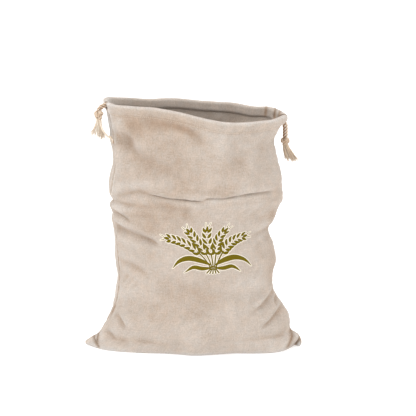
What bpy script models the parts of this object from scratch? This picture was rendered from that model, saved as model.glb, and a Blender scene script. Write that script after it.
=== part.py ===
"""A linen bread bag with two drawcords, standing open in the shape that its filling gives it.

Two panels of linen are sewn down both sides and along the bottom. Each panel starts at the bottom seam,
runs over the floor as half of the base, climbs the wall with its folds, and turns over at the mouth as
the hem, which is the casing of the drawcords. The corners of the bottom stand out as two ears. Each
drawcord goes right round the mouth inside the casing, and its two ends leave through a slit at one side
and are knotted together, with their strands unravelled below the knot as a tassel.

Origin: under the middle of the bag, on the floor. +X is the bag's right side, -Y its front, +Z is up.
The tables and sizes are in millimetres. make_object turns them into metres.
"""

import math
import random

import bmesh
import bpy
import numpy as np

MM = 0.001

# Cloth
CLOTH_THICKNESS = 1.2
SEAM_GAP = 0.3  # between the two panels along every seam
EAR_INWARD = np.array([0.8, 0.0, 0.6])  # from the tip of the left ear into its cloth
COLUMNS = 30  # faces across a panel, from the left seam to the right one
BASE_ROWS = 4  # faces from the bottom seam over the floor to the edge of the base
FOOT_ROWS = 9  # faces from FOOT_START up to FOOT_TOP
FOOT_START = 5.5  # length of the first face above the edge of the base
FOOT_TOP = 96.0  # above this height the rows are level
BODY_TOP = 288.0  # above this height the rows lean to the slope of the mouth
LEVEL_ROWS = (108, 122, 136, 150, 162, 173, 183, 192, 202, 211, 218, 224, 230, 237, 247, 262, 276, 288)
NECK_SHARES = (0.33, 0.67)  # rows between BODY_TOP and the hem, as shares of the way
EAR_TRIM = 0.3  # how far each panel stops short of the side seam, in the foot
EAR_FROM = 141.0  # the ears are what reaches further to the side than this
EAR_REACH = 153.0
EAR_LIFT = 3.0  # how far the tips of the ears stand off the floor
RIGHT_EAR_CURL = 7.0  # how far the tip of the right ear curls to the front

# Hem: drop below the rim, inset from the wall's outer side, and trim back from the side slit
HEM_ROWS = (
    (17.0, 0.2, 1.0),
    (13.0, -1.0, 3.1),
    (6.0, -1.1, 3.1),
    (1.5, 0.3, 3.1),
    (0.0, 3.1, 5.0),
    (1.5, 5.9, 8.0),
    (7.0, 6.9, 9.0),
    (12.5, 6.5, 9.0),
    (15.8, 2.6, 9.0),
)
HEM_HEIGHT = 17.0
FLAP_INSET = 2.0  # the hem's rows further in than this are its turned part
SPOUT_INSET = 1.9  # how much further in that part and the cords lie at the right slit, where the hem flares
SPOUT_FROM = 0.84

# Drawcords
CORD_DIAMETER = 3.2
CORD_SIDES = 8
TWIST_HEIGHT = 0.55  # how far the two plies stand proud, where the cord is out of the casing
TWIST_PITCH = 11.0
CASING_INSET = 2.85  # centre line of both cords, from the wall's outer side
CASING_TRIM = 5.0
LEFT_CORD_DROP = 5.4
RIGHT_CORD_DROP = 10.6
END_STEP = 1.7  # between rings where the twist shows

# Knots and tassels
KNOT_CUTS = 4  # each side of the knot's starting cube is cut into one face more than this
KNOT_TURNS = 4.4
KNOT_GROOVE = 0.3  # depth of the groove between the knot's turns, as a share of its radius
KNOT_FLAT = 0.8  # how far down its ball the underside lies, where the strands grow
KNOT_CROWN = 0.86  # how far up its ball the crown lies, where the cord's ends meet it
STRAND_STEPS = 3
STRAND_PART = 0.14  # how far each strand is parted from its neighbours at its root
STRAND_LENGTHS = (0.82, 1.08)  # shortest and longest strand, as shares of a tassel's length
STRAND_DRIFT = 0.3  # how far a strand's tip may stray
# Each tassel: its knot's centre and its width, depth and height, then how much wider the strands are at
# their tips than at the knot, their length, how far they lean there, and the seed of their order
TASSEL_NAMES = ("centre", "size", "flare", "length", "sway", "seed")
TASSELS = {
    "left": ((-133.0, -15.4, 335.9), (12.6, 10.6, 14.2), 0.55, 27.0, (0.0, 2.0), 3),
    "right": ((130.4, -0.5, 297.2), (12.2, 10.4, 9.8), 0.9, 21.0, (9.0, 0.0), 8),
}

# Level sections of the filled bag, from the floor up. "left" and "right" are the reach to each side,
# "front" and "back" the depth, "pinch" how far the section closes to a point there (0 round, 1 pointed),
# and "turn" how many degrees forward of the left extreme the left seam lies.
SECTION_NAMES = ("z", "left", "right", "front", "back", "pinch_left", "pinch_right", "turn")
SECTIONS = (
    (0.0, 153.0, 151.0, 64.0, 62.0, 1.00, 1.00, 0.0),
    (3.5, 152.0, 154.0, 68.5, 66.5, 1.00, 1.00, 0.0),
    (7.5, 147.5, 155.0, 70.5, 68.5, 0.95, 1.00, 0.0),
    (12.5, 140.5, 153.0, 71.5, 69.5, 0.80, 0.95, 0.0),
    (18.0, 134.5, 149.0, 71.8, 70.0, 0.60, 0.90, 0.0),
    (21.5, 132.5, 142.0, 71.8, 70.0, 0.50, 0.75, 0.0),
    (25.0, 130.5, 138.5, 71.5, 70.0, 0.40, 0.55, 1.0),
    (36.0, 124.5, 136.5, 70.0, 69.5, 0.25, 0.40, 3.0),
    (50.0, 118.7, 131.5, 68.0, 68.0, 0.15, 0.25, 8.0),
    (64.0, 114.5, 123.0, 66.5, 66.5, 0.10, 0.15, 14.0),
    (80.0, 111.0, 115.0, 66.0, 66.0, 0.05, 0.08, 13.0),
    (104.0, 108.5, 112.5, 66.5, 66.5, 0.00, 0.05, 10.0),
    (128.0, 111.0, 117.0, 67.5, 67.0, 0.00, 0.05, 16.0),
    (150.0, 111.5, 114.0, 68.0, 66.5, 0.00, 0.05, 12.0),
    (172.0, 112.5, 107.5, 67.5, 65.5, 0.00, 0.05, 9.0),
    (184.0, 115.0, 114.5, 66.5, 65.0, 0.00, 0.05, 8.5),
    (198.0, 115.0, 119.5, 65.5, 65.0, 0.00, 0.05, 8.5),
    (207.0, 118.0, 124.0, 65.0, 65.0, 0.00, 0.05, 9.0),
    (213.5, 113.8, 127.5, 65.0, 65.5, 0.00, 0.05, 9.0),
    (220.0, 117.8, 127.5, 65.5, 66.0, 0.00, 0.05, 10.0),
    (234.0, 119.2, 126.5, 66.0, 66.0, 0.00, 0.05, 15.0),
    (250.0, 117.3, 125.5, 65.5, 65.0, 0.00, 0.05, 16.0),
    (264.0, 113.6, 122.0, 64.0, 63.5, 0.00, 0.08, 15.0),
    (282.0, 113.8, 118.0, 61.5, 61.5, 0.00, 0.10, 13.0),
    (301.0, 114.8, 115.5, 58.5, 59.5, 0.00, 0.12, 13.0),
    (311.0, 116.5, 120.0, 57.0, 58.5, 0.00, 0.12, 14.5),
    (319.5, 119.0, 125.0, 55.5, 57.5, 0.00, 0.12, 15.5),
    (327.5, 120.3, 132.3, 54.5, 56.5, 0.00, 0.12, 15.0),
    (336.0, 121.3, 133.3, 53.5, 55.5, 0.00, 0.12, 13.5),
    (346.0, 123.0, 133.3, 52.5, 54.0, 0.00, 0.12, 11.5),
    (360.0, 128.5, 133.3, 52.0, 53.0, 0.00, 0.12, 10.0),
)

# Height of the rim at shares of the way from the left seam to the right one
FRONT_RIM = ((0.0, 355.0), (0.06, 353.5), (0.14, 353.4), (0.24, 352.6), (0.34, 348.5), (0.44, 343.2),
             (0.54, 337.6), (0.66, 332.6), (0.78, 332.4), (0.9, 333.0), (1.0, 335.6))
BACK_RIM = ((0.0, 355.0), (0.05, 358.0), (0.14, 355.5), (0.28, 350.5), (0.42, 350.0), (0.55, 346.0),
            (0.68, 344.5), (0.8, 340.5), (0.9, 341.0), (0.96, 338.0), (1.0, 335.6))

# Folds of the panels. "depth" is the trough (below zero a ridge), "width" its half width, "lip" the roll
# of cloth along its upper side, "sag" how far that roll hangs down over the trough, and "line" the
# points (x, z) that it follows, seen from the front or, on the back panel, through the bag.
FOLD_NAMES = ("name", "depth", "width", "lip", "sag", "line")
FRONT_FOLDS = (
    ("waist left", 7.0, 7.5, 5.0, 3.0, ((-116, 221), (-92, 229), (-62, 232), (-20, 230), (2, 226), (26, 218))),
    ("waist right", 6.5, 7.5, 4.5, 3.0, ((14, 229), (44, 231), (67, 233), (102, 229), (126, 221))),
    ("waist roll", -4.0, 9.0, 0.0, 0.0, ((-112, 216), (-94, 214), (-70, 218), (-40, 214))),
    ("side roll upper", -5.0, 5.0, 0.0, 0.0, ((-116, 206), (-98, 204), (-84, 198))),
    ("side roll lower", -5.5, 5.0, 0.0, 0.0, ((-116, 192), (-97, 188), (-82, 182))),
    ("side trough", 6.5, 7.0, 2.5, 1.5, ((-116, 184), (-84, 175), (-60, 166), (-34, 152))),
    ("shoulder", 5.5, 13.0, 0.0, 0.0, ((-92, 340), (-98, 306), (-61, 281), (-32, 266), (2, 244))),
    ("shoulder bulge", -4.5, 16.0, 0.0, 0.0, ((-82, 326), (-62, 306), (-30, 290))),
    ("collar bulge", -3.5, 13.0, 0.0, 0.0, ((-112, 318), (-112, 300), (-106, 282))),
    ("chest", 4.5, 11.0, 0.0, 0.0, ((-70, 340), (-4, 326), (20, 305), (28, 290))),
    ("side pull", 4.5, 9.0, 0.0, 0.0, ((110, 318), (94, 292), (97, 262), (114, 242))),
    ("waist belly", -4.0, 22.0, 0.0, 0.0, ((4, 264), (50, 270), (90, 262))),
    ("hip right", 4.0, 8.0, 2.0, 1.0, ((118, 178), (92, 172), (66, 160), (50, 146))),
    ("low right upper", 6.0, 7.5, 3.0, 0.5, ((80, 53), (106, 65), (123, 77))),
    ("low right lower", 5.0, 7.5, 2.5, 0.5, ((94, 31), (120, 45), (133, 57))),
    ("low left", 5.5, 7.5, 3.0, 0.5, ((-118, 56), (-106, 48), (-92, 33))),
    ("low left bulge", -4.0, 14.0, 0.0, 0.0, ((-102, 108), (-90, 92), (-84, 70))),
    ("left ear", 5.0, 5.0, 0.0, 0.0, ((-137, 22), (-136, 12), (-131, 1))),
    ("right ear", 5.0, 5.0, 0.0, 0.0, ((139, 28), (138, 14), (133, 1))),
    ("belly", -3.0, 34.0, 0.0, 0.0, ((-30, 60), (20, 96), (40, 150))),
)
BACK_FOLDS = (
    ("waist", 6.5, 7.5, 4.5, 3.0, ((-116, 210), (-70, 222), (-20, 224), (26, 216), (62, 203))),
    ("waist right", 5.5, 7.5, 4.0, 3.0, ((38, 227), (84, 230), (120, 220))),
    ("cross", 5.5, 11.0, 2.0, 0.5, ((108, 326), (66, 300), (22, 286), (-18, 260))),
    ("shoulder", 4.5, 11.0, 0.0, 0.0, ((-98, 334), (-84, 296), (-50, 272), (-28, 248))),
    ("hip", 5.5, 8.0, 2.0, 0.5, ((116, 184), (78, 170), (46, 150), (20, 126))),
    ("seat", 5.5, 8.0, 2.0, 0.5, ((-116, 152), (-72, 132), (-40, 104))),
    ("low left", 5.5, 6.5, 2.5, 0.5, ((-122, 60), (-98, 48), (-76, 28))),
    ("low right", 5.5, 6.5, 2.5, 0.5, ((124, 72), (98, 58), (80, 36))),
    ("left ear", 5.0, 5.0, 0.0, 0.0, ((-137, 22), (-136, 12), (-131, 1))),
    ("right ear", 5.0, 5.0, 0.0, 0.0, ((139, 28), (138, 14), (133, 1))),
    ("belly", -3.0, 36.0, 0.0, 0.0, ((-40, 180), (0, 120), (30, 70))),
)
SEAM_CALM = 0.07  # share of a panel's width over which its folds die away to the seam
GATHER_HEIGHT = 1.1  # waves that the drawcord leaves round the mouth
GATHER_WAVES = 6
GATHER_REACH = 45.0  # how far down from the rim they run out

# Routes of the cords' free ends, from the slit to the knot
LEFT_OUTER_END = (
    (-120.4, -10.1, 350.7),
    (-124.2, -11.2, 351.4),
    (-129.2, -13.6, 350.4),
    (-133.2, -15.5, 347.4),
    (-134.6, -16.2, 342.4),
)
LEFT_INNER_END = (
    (-119.9, -7.2, 348.2),
    (-122.8, -10.0, 347.8),
    (-127.2, -12.6, 347.4),
    (-130.4, -14.2, 345.8),
    (-131.1, -14.5, 342.4),
)
RIGHT_OUTER_END = (
    (128.9, 0.8, 325.4),
    (131.6, 0.1, 321.9),
    (132.4, -0.3, 316.0),
    (132.4, -0.5, 309.0),
    (132.2, -0.6, 301.8),
)
RIGHT_INNER_END = (
    (126.5, -2.0, 324.2),
    (128.2, -0.5, 320.4),
    (128.8, -0.6, 315.0),
    (128.8, -0.6, 309.0),
    (128.6, -0.6, 301.8),
)


# --- curves and tables -------------------------------------------------------------------------------


def smooth(at, stations, values):
    """The value at each place on a smooth curve through the values at the stations."""
    stations = np.asarray(stations, float)
    values = np.asarray(values, float)
    slopes = np.gradient(values, stations)
    at = np.clip(np.asarray(at, float), stations[0], stations[-1])
    k = np.clip(np.searchsorted(stations, at) - 1, 0, len(stations) - 2)
    width = stations[k + 1] - stations[k]
    t = (at - stations[k]) / width
    rise = 2 * t**3 - 3 * t**2 + 1
    return (
        rise * values[k]
        + (1 - rise) * values[k + 1]
        + (t**3 - 2 * t**2 + t) * width * slopes[k]
        + (t**3 - t**2) * width * slopes[k + 1]
    )


def smooth_line(points, count):
    """That many points, evenly spaced along a smooth curve through the given ones."""
    points = np.asarray(points, float)
    reach = np.r_[0, np.cumsum(np.linalg.norm(np.diff(points, axis=0), axis=1))]
    fine = np.linspace(0, reach[-1], 12 * len(points))
    curve = np.stack([smooth(fine, reach, column) for column in points.T], axis=1)
    return even_points(curve, count)


def even_points(curve, count):
    """That many points, evenly spaced along a polyline."""
    reach = np.r_[0, np.cumsum(np.linalg.norm(np.diff(curve, axis=0), axis=1))]
    at = np.linspace(0, reach[-1], count)
    return np.stack([np.interp(at, reach, column) for column in curve.T], axis=1)


def ease(share):
    """0 to 1 with a soft start and end."""
    share = np.clip(share, 0, 1)
    return share * share * (3 - 2 * share)


# --- the filled shape --------------------------------------------------------------------------------


def section_sizes(z):
    """The sizes of the level section at a height, by name."""
    table = np.array(SECTIONS)
    columns = dict(zip(SECTION_NAMES, table.T))
    return {name: float(smooth(z, columns["z"], columns[name])) for name in SECTION_NAMES[1:]}


def section_curve(side, z):
    """One panel's level section at a height, from the left seam to the right seam, as (x, y) points."""
    size = section_sizes(z)
    turn = math.radians(size["turn"])
    angle = np.linspace(turn if side == "front" else -turn, math.pi, 181)
    cosine = -np.cos(angle)
    middle = (size["right"] - size["left"]) / 2
    half = (size["right"] + size["left"]) / 2
    pinch = np.where(cosine < 0, size["pinch_left"], size["pinch_right"])
    close = 1 - np.abs(cosine) ** (2 + 0.7 * pinch)
    depth = np.clip(close, 0, 1) ** (0.5 + 0.5 * pinch)
    y = -size["front"] * depth
    if side == "back":
        y = np.where(angle < 0, y, size["back"] * depth)
    return np.stack([middle + half * cosine, y], axis=1)


def fold_relief(side, x, z):
    """How far the folds push the wall out at a place, and how far they let it sag."""
    out, sag = 0.0, 0.0
    for row in FRONT_FOLDS if side == "front" else BACK_FOLDS:
        fold = dict(zip(FOLD_NAMES, row))
        line = FOLD_LINES[side, fold["name"]]
        offset = np.array([x, z]) - line
        away = np.hypot(*offset.T)
        nearest = int(np.argmin(away))
        taper = ease(2.2 * min(nearest, len(line) - 1 - nearest) / (len(line) - 1))
        distance = away[nearest] / fold["width"]
        if distance > 4:
            continue
        out -= taper * fold["depth"] * math.exp(-(distance**2))
        above = offset[nearest, 1] / fold["width"]
        if above > 0 and fold["lip"]:
            roll = taper * math.exp(-((distance - 1.6) ** 2))
            out += fold["lip"] * roll
            sag += fold["sag"] * roll
    return out, sag


def gather_relief(share, below_rim):
    """The small waves that the drawcord leaves round the mouth."""
    fade = 1 - ease(below_rim / GATHER_REACH)
    wave = math.sin(2 * math.pi * GATHER_WAVES * share) * (0.6 + 0.4 * math.sin(9 * share))
    return GATHER_HEIGHT * fade * wave


def rim_height(side, share):
    """Height of the rim at a share of the way from the left seam to the right one."""
    stations, heights = zip(*(FRONT_RIM if side == "front" else BACK_RIM))
    return float(smooth(share, stations, heights))


def spout_inset(share):
    """How much deeper the hem is towards the right slit."""
    return SPOUT_INSET * ease((share - SPOUT_FROM) / (1 - SPOUT_FROM))


def wall_point(side, share, z, inset=0.0, trim=SEAM_GAP / 2, folds_at=None):
    """A point of a panel: inset from the wall's outer side at a share of its width and a height.

    trim is how far the panel stops short of the seam line. folds_at is the height whose folds it takes,
    where that is another one than its own, as in the hem.
    """
    curve = section_curve(side, z)
    reach = np.r_[0, np.cumsum(np.linalg.norm(np.diff(curve, axis=0), axis=1))]
    at = trim + share * (reach[-1] - 2 * trim)
    x, y = (np.interp(at, reach, column) for column in curve.T)
    ahead, behind = (
        np.array([np.interp(np.clip(at + step, 0, reach[-1]), reach, column) for column in curve.T])
        for step in (2.0, -2.0)
    )
    run = ahead - behind
    outward = np.array([run[1], -run[0]]) * (1 if side == "front" else -1) / np.hypot(*run)
    calm = ease(share / SEAM_CALM) * ease((1 - share) / SEAM_CALM)
    out, sag = fold_relief(side, x, z if folds_at is None else folds_at)
    below_rim = rim_height(side, share) - (z if folds_at is None else folds_at)
    out += gather_relief(share, below_rim)
    out *= calm * ease(z / 7.0)
    x, y = np.array([x, y]) + outward * (out - inset)
    return np.array([x, y, max(z - sag * calm, 0.0)])


def shape_ear(point):
    """The point with the tips of the ears off the floor, and the right one curled to the front."""
    reach = max(abs(point[0]) - EAR_FROM, 0) / (EAR_REACH - EAR_FROM)
    lift = EAR_LIFT * reach * max(1 - point[2] / 12.0, 0)
    curl = RIGHT_EAR_CURL * reach**2 if point[0] > 0 else 0.0
    return point + np.array([0.0, -curl, lift])


# --- panels ------------------------------------------------------------------------------------------


def foot_column(side, share):
    """One column of a panel, from the bottom seam over the floor and up to FOOT_TOP.

    At the two seams the base has run out, so there the column starts with the tip of the ear repeated.
    """
    heights = np.r_[np.linspace(0, 12, 9), np.linspace(14, FOOT_TOP, 28)]
    climb = np.array([wall_point(side, share, z, trim=EAR_TRIM) for z in heights])
    edge = climb[0]
    left, right = SECTIONS[0][1], SECTIONS[0][2]
    seam_side = -SEAM_GAP / 2 if side == "front" else SEAM_GAP / 2
    seam = np.array([-left + share * (left + right), seam_side, 0.0]) if 0 < share < 1 else edge
    base = [seam + (edge - seam) * step / BASE_ROWS for step in range(BASE_ROWS)]
    reach = np.r_[0, np.cumsum(np.linalg.norm(np.diff(climb, axis=0), axis=1))]
    at = np.r_[0, np.linspace(FOOT_START, reach[-1], FOOT_ROWS + 1)]
    wall = np.stack([np.interp(at, reach, column) for column in climb.T], axis=1)
    return [shape_ear(point) for point in base + list(wall)]


def panel_rows(side):
    """The outer side of a panel as rows of points, from the bottom seam to the free edge of the hem."""
    shares = np.linspace(0, 1, COLUMNS + 1)
    columns = []
    for share in shares:
        column = foot_column(side, share)
        column += [wall_point(side, share, z) for z in LEVEL_ROWS]
        rim = rim_height(side, share)
        neck = BODY_TOP + np.array(NECK_SHARES) * (rim - HEM_HEIGHT - BODY_TOP)
        column += [wall_point(side, share, z) for z in neck]
        for drop, inset, trim in HEM_ROWS:
            inset += spout_inset(share) if inset > FLAP_INSET else 0.0
            column.append(wall_point(side, share, rim - drop, inset, trim, folds_at=rim - HEM_HEIGHT))
        columns.append(column)
    return np.array(columns).transpose(1, 0, 2)


def inward_directions(side, rows):
    """The direction from the panel's outer side to its inner side at each point."""
    along = np.gradient(rows, axis=1)
    up = np.gradient(rows, axis=0)
    inward = np.cross(along, up) * (-1 if side == "front" else 1)
    inward /= np.maximum(np.linalg.norm(inward, axis=2, keepdims=True), 1e-9)
    below_hem = len(rows) - len(HEM_ROWS) + 1
    for column in (0, -1):
        to_middle = -rows[:below_hem, column] * np.array([1.0, 1.0, 0.0])
        inward[:below_hem, column] = to_middle / np.linalg.norm(to_middle, axis=1, keepdims=True)
    inward[:BASE_ROWS, 1:-1] = (0.0, 0.0, 1.0)
    inward[: BASE_ROWS + 1, 0] = EAR_INWARD
    inward[: BASE_ROWS + 1, -1] = EAR_INWARD * (-1.0, 1.0, 1.0)
    return inward


def panel_shell(side):
    """Points and faces of one panel as a closed sheet."""
    outer = panel_rows(side)
    inner = outer + CLOTH_THICKNESS * inward_directions(side, outer)
    high, wide = outer.shape[:2]
    points = np.concatenate([outer.reshape(-1, 3), inner.reshape(-1, 3)])
    below = high * wide

    def corner(row, column):
        """A point's number. The tips of the ears are one point each, whatever their row."""
        if column in (0, wide - 1) and row < BASE_ROWS:
            row = BASE_ROWS
        return row * wide + column

    faces = []
    for row in range(high - 1):
        for column in range(wide - 1):
            around = (corner(row, column), corner(row, column + 1),
                      corner(row + 1, column + 1), corner(row + 1, column))
            face = tuple(dict.fromkeys(around))
            faces.append(face)
            faces.append(tuple(below + point for point in reversed(face)))
    border = [corner(0, column) for column in range(wide)]
    border += [corner(row, wide - 1) for row in range(BASE_ROWS + 1, high)]
    border += [corner(high - 1, column) for column in range(wide - 2, -1, -1)]
    border += [corner(row, 0) for row in range(high - 2, BASE_ROWS, -1)]
    for a, b in zip(border, border[1:] + border[:1]):
        faces.append((b, a, below + a, below + b))
    if side == "back":
        faces = [tuple(reversed(face)) for face in faces]
    used = sorted({point for face in faces for point in face})
    number = {point: k for k, point in enumerate(used)}
    return points[used], [tuple(number[point] for point in face) for face in faces]


# --- drawcords ---------------------------------------------------------------------------------------


def casing_run(side, drop):
    """The centre line of a cord in one panel's hem, from left to right."""
    run = []
    for share in np.linspace(0, 1, COLUMNS + 1):
        rim = rim_height(side, share)
        inset = CASING_INSET + spout_inset(share)
        run.append(wall_point(side, share, rim - drop, inset, CASING_TRIM, rim - HEM_HEIGHT))
    return run


def cord_route(hand):
    """A drawcord's centre line in three parts: from the knot in, through the casing, and back to it."""
    drop = LEFT_CORD_DROP if hand == "left" else RIGHT_CORD_DROP
    front = casing_run("front", drop)
    back = casing_run("back", drop)
    if hand == "left":
        first, last = LEFT_OUTER_END[::-1], LEFT_INNER_END
        middle = front + back[::-1]
    else:
        first, last = RIGHT_INNER_END[::-1], RIGHT_OUTER_END
        middle = front[::-1] + back
    return [np.array(p, float) for p in first], middle, [np.array(p, float) for p in last]


def cord_rings(hand):
    """Ring centres of a cord and the height of its twist at each."""
    first, middle, last = cord_route(hand)
    points = np.array(first + middle + last)
    reach = np.r_[0, np.cumsum(np.linalg.norm(np.diff(points, axis=0), axis=1))]
    start, end = reach[len(first) - 1], reach[len(first) + len(middle)]
    coarse = reach[len(first) : len(first) + len(middle)]
    at = np.r_[
        np.linspace(0, start, max(int(start / END_STEP), 2)),
        coarse,
        np.linspace(end, reach[-1], max(int((reach[-1] - end) / END_STEP), 2)),
    ]
    centres = np.stack([smooth(at, reach, column) for column in points.T], axis=1)
    shown = np.where((at <= start) | (at >= end), 1.0, 0.0)
    return centres, at, TWIST_HEIGHT * shown


def tube(centres, at, twist):
    """Points and faces of a tube along ring centres, its two plies raised where it is twisted."""
    along = np.gradient(centres, axis=0)
    along /= np.linalg.norm(along, axis=1, keepdims=True)
    across = np.cross(along[0], (0.0, 1.0, 0.3))
    points = []
    for centre, direction, reach, rise in zip(centres, along, at, twist):
        across = across - direction * across.dot(direction)
        across /= np.linalg.norm(across)
        over = np.cross(direction, across)
        lay = 2 * math.pi * reach / TWIST_PITCH
        for side in range(CORD_SIDES):
            angle = 2 * math.pi * side / CORD_SIDES
            radius = CORD_DIAMETER / 2 - rise * (0.5 - 0.5 * math.cos(2 * (angle - lay)))
            points.append(centre + radius * (across * math.cos(angle) + over * math.sin(angle)))
    faces = [tuple(range(CORD_SIDES))[::-1]]
    for ring in range(len(centres) - 1):
        for side in range(CORD_SIDES):
            a = ring * CORD_SIDES + side
            b = ring * CORD_SIDES + (side + 1) % CORD_SIDES
            faces.append((a, b, b + CORD_SIDES, a + CORD_SIDES))
    last = (len(centres) - 1) * CORD_SIDES
    faces.append(tuple(range(last, last + CORD_SIDES)))
    return np.array(points), faces


# --- knots and tassels -------------------------------------------------------------------------------


def knot_point(direction, size):
    """A point of the knot in a direction from its centre: a ball of turned cord, flat above and below."""
    x, y, z = direction
    lean = KNOT_TURNS * (z + 0.45 * x) + math.atan2(y, x)
    turns = 1 - KNOT_GROOVE * (0.5 + 0.5 * math.cos(lean)) ** 2
    point = np.array([x * turns, y * turns, min(max(z, -KNOT_FLAT), KNOT_CROWN)])
    return point * np.array(size) / 2


def make_tassel(hand, material):
    """The knot of a cord's two ends, with the unravelled strands grown from the underside of the knot."""
    sizes = dict(zip(TASSEL_NAMES, TASSELS[hand]))
    size = sizes["size"]
    rng = random.Random(sizes["seed"])
    bm = bmesh.new()
    bmesh.ops.create_cube(bm, size=2.0)
    bmesh.ops.subdivide_edges(bm, edges=bm.edges, cuts=KNOT_CUTS, use_grid_fill=True)
    under = [face for face in bm.faces if face.normal.z < -0.9]
    for vert in bm.verts:
        direction = np.array(vert.co)
        direction /= np.linalg.norm(direction)
        vert.co = knot_point(direction, size)
    bm.normal_update()
    bmesh.ops.inset_individual(bm, faces=under, thickness=STRAND_PART * size[0] / (KNOT_CUTS + 1))
    for face in under:
        root = np.array(face.calc_center_median())
        reach = sizes["length"] * rng.uniform(*STRAND_LENGTHS)
        drift = np.array([rng.uniform(-STRAND_DRIFT, STRAND_DRIFT) for axis in "xy"])
        tip = face
        for step in range(1, STRAND_STEPS + 1):
            share = step / STRAND_STEPS
            bottom = bmesh.ops.extrude_discrete_faces(bm, faces=[tip])["faces"][0]
            spread = root[:2] * (1 + sizes["flare"] * share)
            goal = np.append(spread + drift * share, root[2] - reach * share)
            goal[:2] += np.array(sizes["sway"]) * share**1.6
            shift = goal - np.array(bottom.calc_center_median())
            bmesh.ops.translate(bm, vec=shift, verts=bottom.verts)
            tip = bottom
    mesh = bpy.data.meshes.new(f"tassel_{hand}")
    for vert in bm.verts:
        vert.co = (np.array(vert.co) + np.array(sizes["centre"])) * MM
    bmesh.ops.recalc_face_normals(bm, faces=bm.faces)
    bm.to_mesh(mesh)
    bm.free()
    finish_object(f"tassel_{hand}", mesh, material)


# --- objects -----------------------------------------------------------------------------------------


def new_material(name, color, roughness):
    """A matt fibre material."""
    material = bpy.data.materials.new(name)
    material.use_nodes = True
    shader = material.node_tree.nodes["Principled BSDF"]
    shader.inputs["Base Color"].default_value = (*color, 1.0)
    shader.inputs["Roughness"].default_value = roughness
    shader.inputs["Metallic"].default_value = 0.0
    return material


def finish_object(name, mesh, material):
    """Put a mesh in the scene, smooth but for its sharp edges, in its material."""
    obj = bpy.data.objects.new(name, mesh)
    bpy.context.scene.collection.objects.link(obj)
    mesh.shade_smooth()
    mesh.set_sharp_from_angle(angle=math.radians(60))
    mesh.materials.append(material)
    return obj


def make_object(name, points, faces, material):
    """An object of points in millimetres and faces."""
    mesh = bpy.data.meshes.new(name)
    mesh.from_pydata([tuple(point * MM) for point in points], [], faces)
    mesh.update()
    return finish_object(name, mesh, material)


FOLD_LINES = {
    (side, row[0]): smooth_line(row[-1], 40)
    for side, rows in (("front", FRONT_FOLDS), ("back", BACK_FOLDS))
    for row in rows
}


def main():
    for obj in list(bpy.data.objects):
        bpy.data.objects.remove(obj)
    linen = new_material("linen", (0.61, 0.52, 0.43), 0.95)
    cotton = new_material("cotton", (0.68, 0.58, 0.44), 0.9)
    for side in ("front", "back"):
        make_object(f"cloth_{side}", *panel_shell(side), linen)
    for hand in ("left", "right"):
        make_object(f"drawcord_{hand}", *tube(*cord_rings(hand)), cotton)
        make_tassel(hand, cotton)


if __name__ == "__main__":
    main()
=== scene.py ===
"""Dresses the linen bread bag: its two cloth panels, drawcords, knots, tassels, stitching and print.

The tables and sizes are in millimetres unless a name says otherwise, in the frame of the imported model:
+X is the bag's right side, -Y its front, +Z is up. Meshes are turned into metres where they are made.
"""
import logging
import math
from dataclasses import dataclass, field
from enum import Enum
from typing import Callable, Sequence

import bpy
import numpy as np
from bpy.types import Material, Object
from mathutils import Matrix, Vector
from numpy import ndarray as Array


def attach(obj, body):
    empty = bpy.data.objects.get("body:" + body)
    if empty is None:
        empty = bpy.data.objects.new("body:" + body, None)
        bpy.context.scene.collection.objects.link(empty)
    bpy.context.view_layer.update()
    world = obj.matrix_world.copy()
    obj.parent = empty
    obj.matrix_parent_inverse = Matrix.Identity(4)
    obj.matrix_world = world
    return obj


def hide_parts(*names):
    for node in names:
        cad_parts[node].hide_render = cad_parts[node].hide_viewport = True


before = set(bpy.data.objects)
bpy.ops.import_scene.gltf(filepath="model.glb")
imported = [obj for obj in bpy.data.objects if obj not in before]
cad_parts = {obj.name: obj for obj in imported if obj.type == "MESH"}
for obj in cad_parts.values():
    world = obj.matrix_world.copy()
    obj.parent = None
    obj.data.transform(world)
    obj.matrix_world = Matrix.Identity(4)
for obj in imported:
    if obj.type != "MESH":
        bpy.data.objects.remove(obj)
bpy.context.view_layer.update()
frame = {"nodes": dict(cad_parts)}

LOG = logging.getLogger("bread_bag")
MM = 0.001
THREAD_MAP = "thread"  # the UV map that follows the threads, in metres of cloth
# The tone attribute carries painted light and painted shade, with some random tone.
TONE_MAP = "tone"  # the attribute that makes a surface paler above 0 and darker below it
Colour = tuple[float, float, float]
Point = tuple[float, float, float]


class Side(Enum):
    """The two panels of the bag."""

    FRONT = "front"
    BACK = "back"

    @property
    def turn(self) -> int:
        """1 where a panel's columns run left to right as seen from outside, -1 where they don't."""
        return 1 if self is Side.FRONT else -1


class Hand(Enum):
    """The side at which a drawcord leaves its casing."""

    LEFT = "left"
    RIGHT = "right"


# --- curves and noise ---


def smooth(at: Array, stations: Sequence[float], values: Sequence[float]) -> Array:
    """Read a smooth curve through the values at the stations.

    Args:
        at: The places to read it at.
        stations: Where the values are given, rising.
        values: The curve's values there.
    Returns:
        The curve's value at each place.
    """
    stations = np.asarray(stations, float)
    values = np.asarray(values, float)
    slopes = np.gradient(values, stations)
    at = np.clip(np.asarray(at, float), stations[0], stations[-1])
    k = np.clip(np.searchsorted(stations, at) - 1, 0, len(stations) - 2)
    width = stations[k + 1] - stations[k]
    t = (at - stations[k]) / width
    rise = 2 * t**3 - 3 * t**2 + 1
    return (
        rise * values[k]
        + (1 - rise) * values[k + 1]
        + (t**3 - 2 * t**2 + t) * width * slopes[k]
        + (t**3 - t**2) * width * slopes[k + 1]
    )


def reach_along(points: Array) -> Array:
    """Length along a polyline at each of its points."""
    return np.r_[0, np.cumsum(np.linalg.norm(np.diff(points, axis=0), axis=1))]


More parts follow.
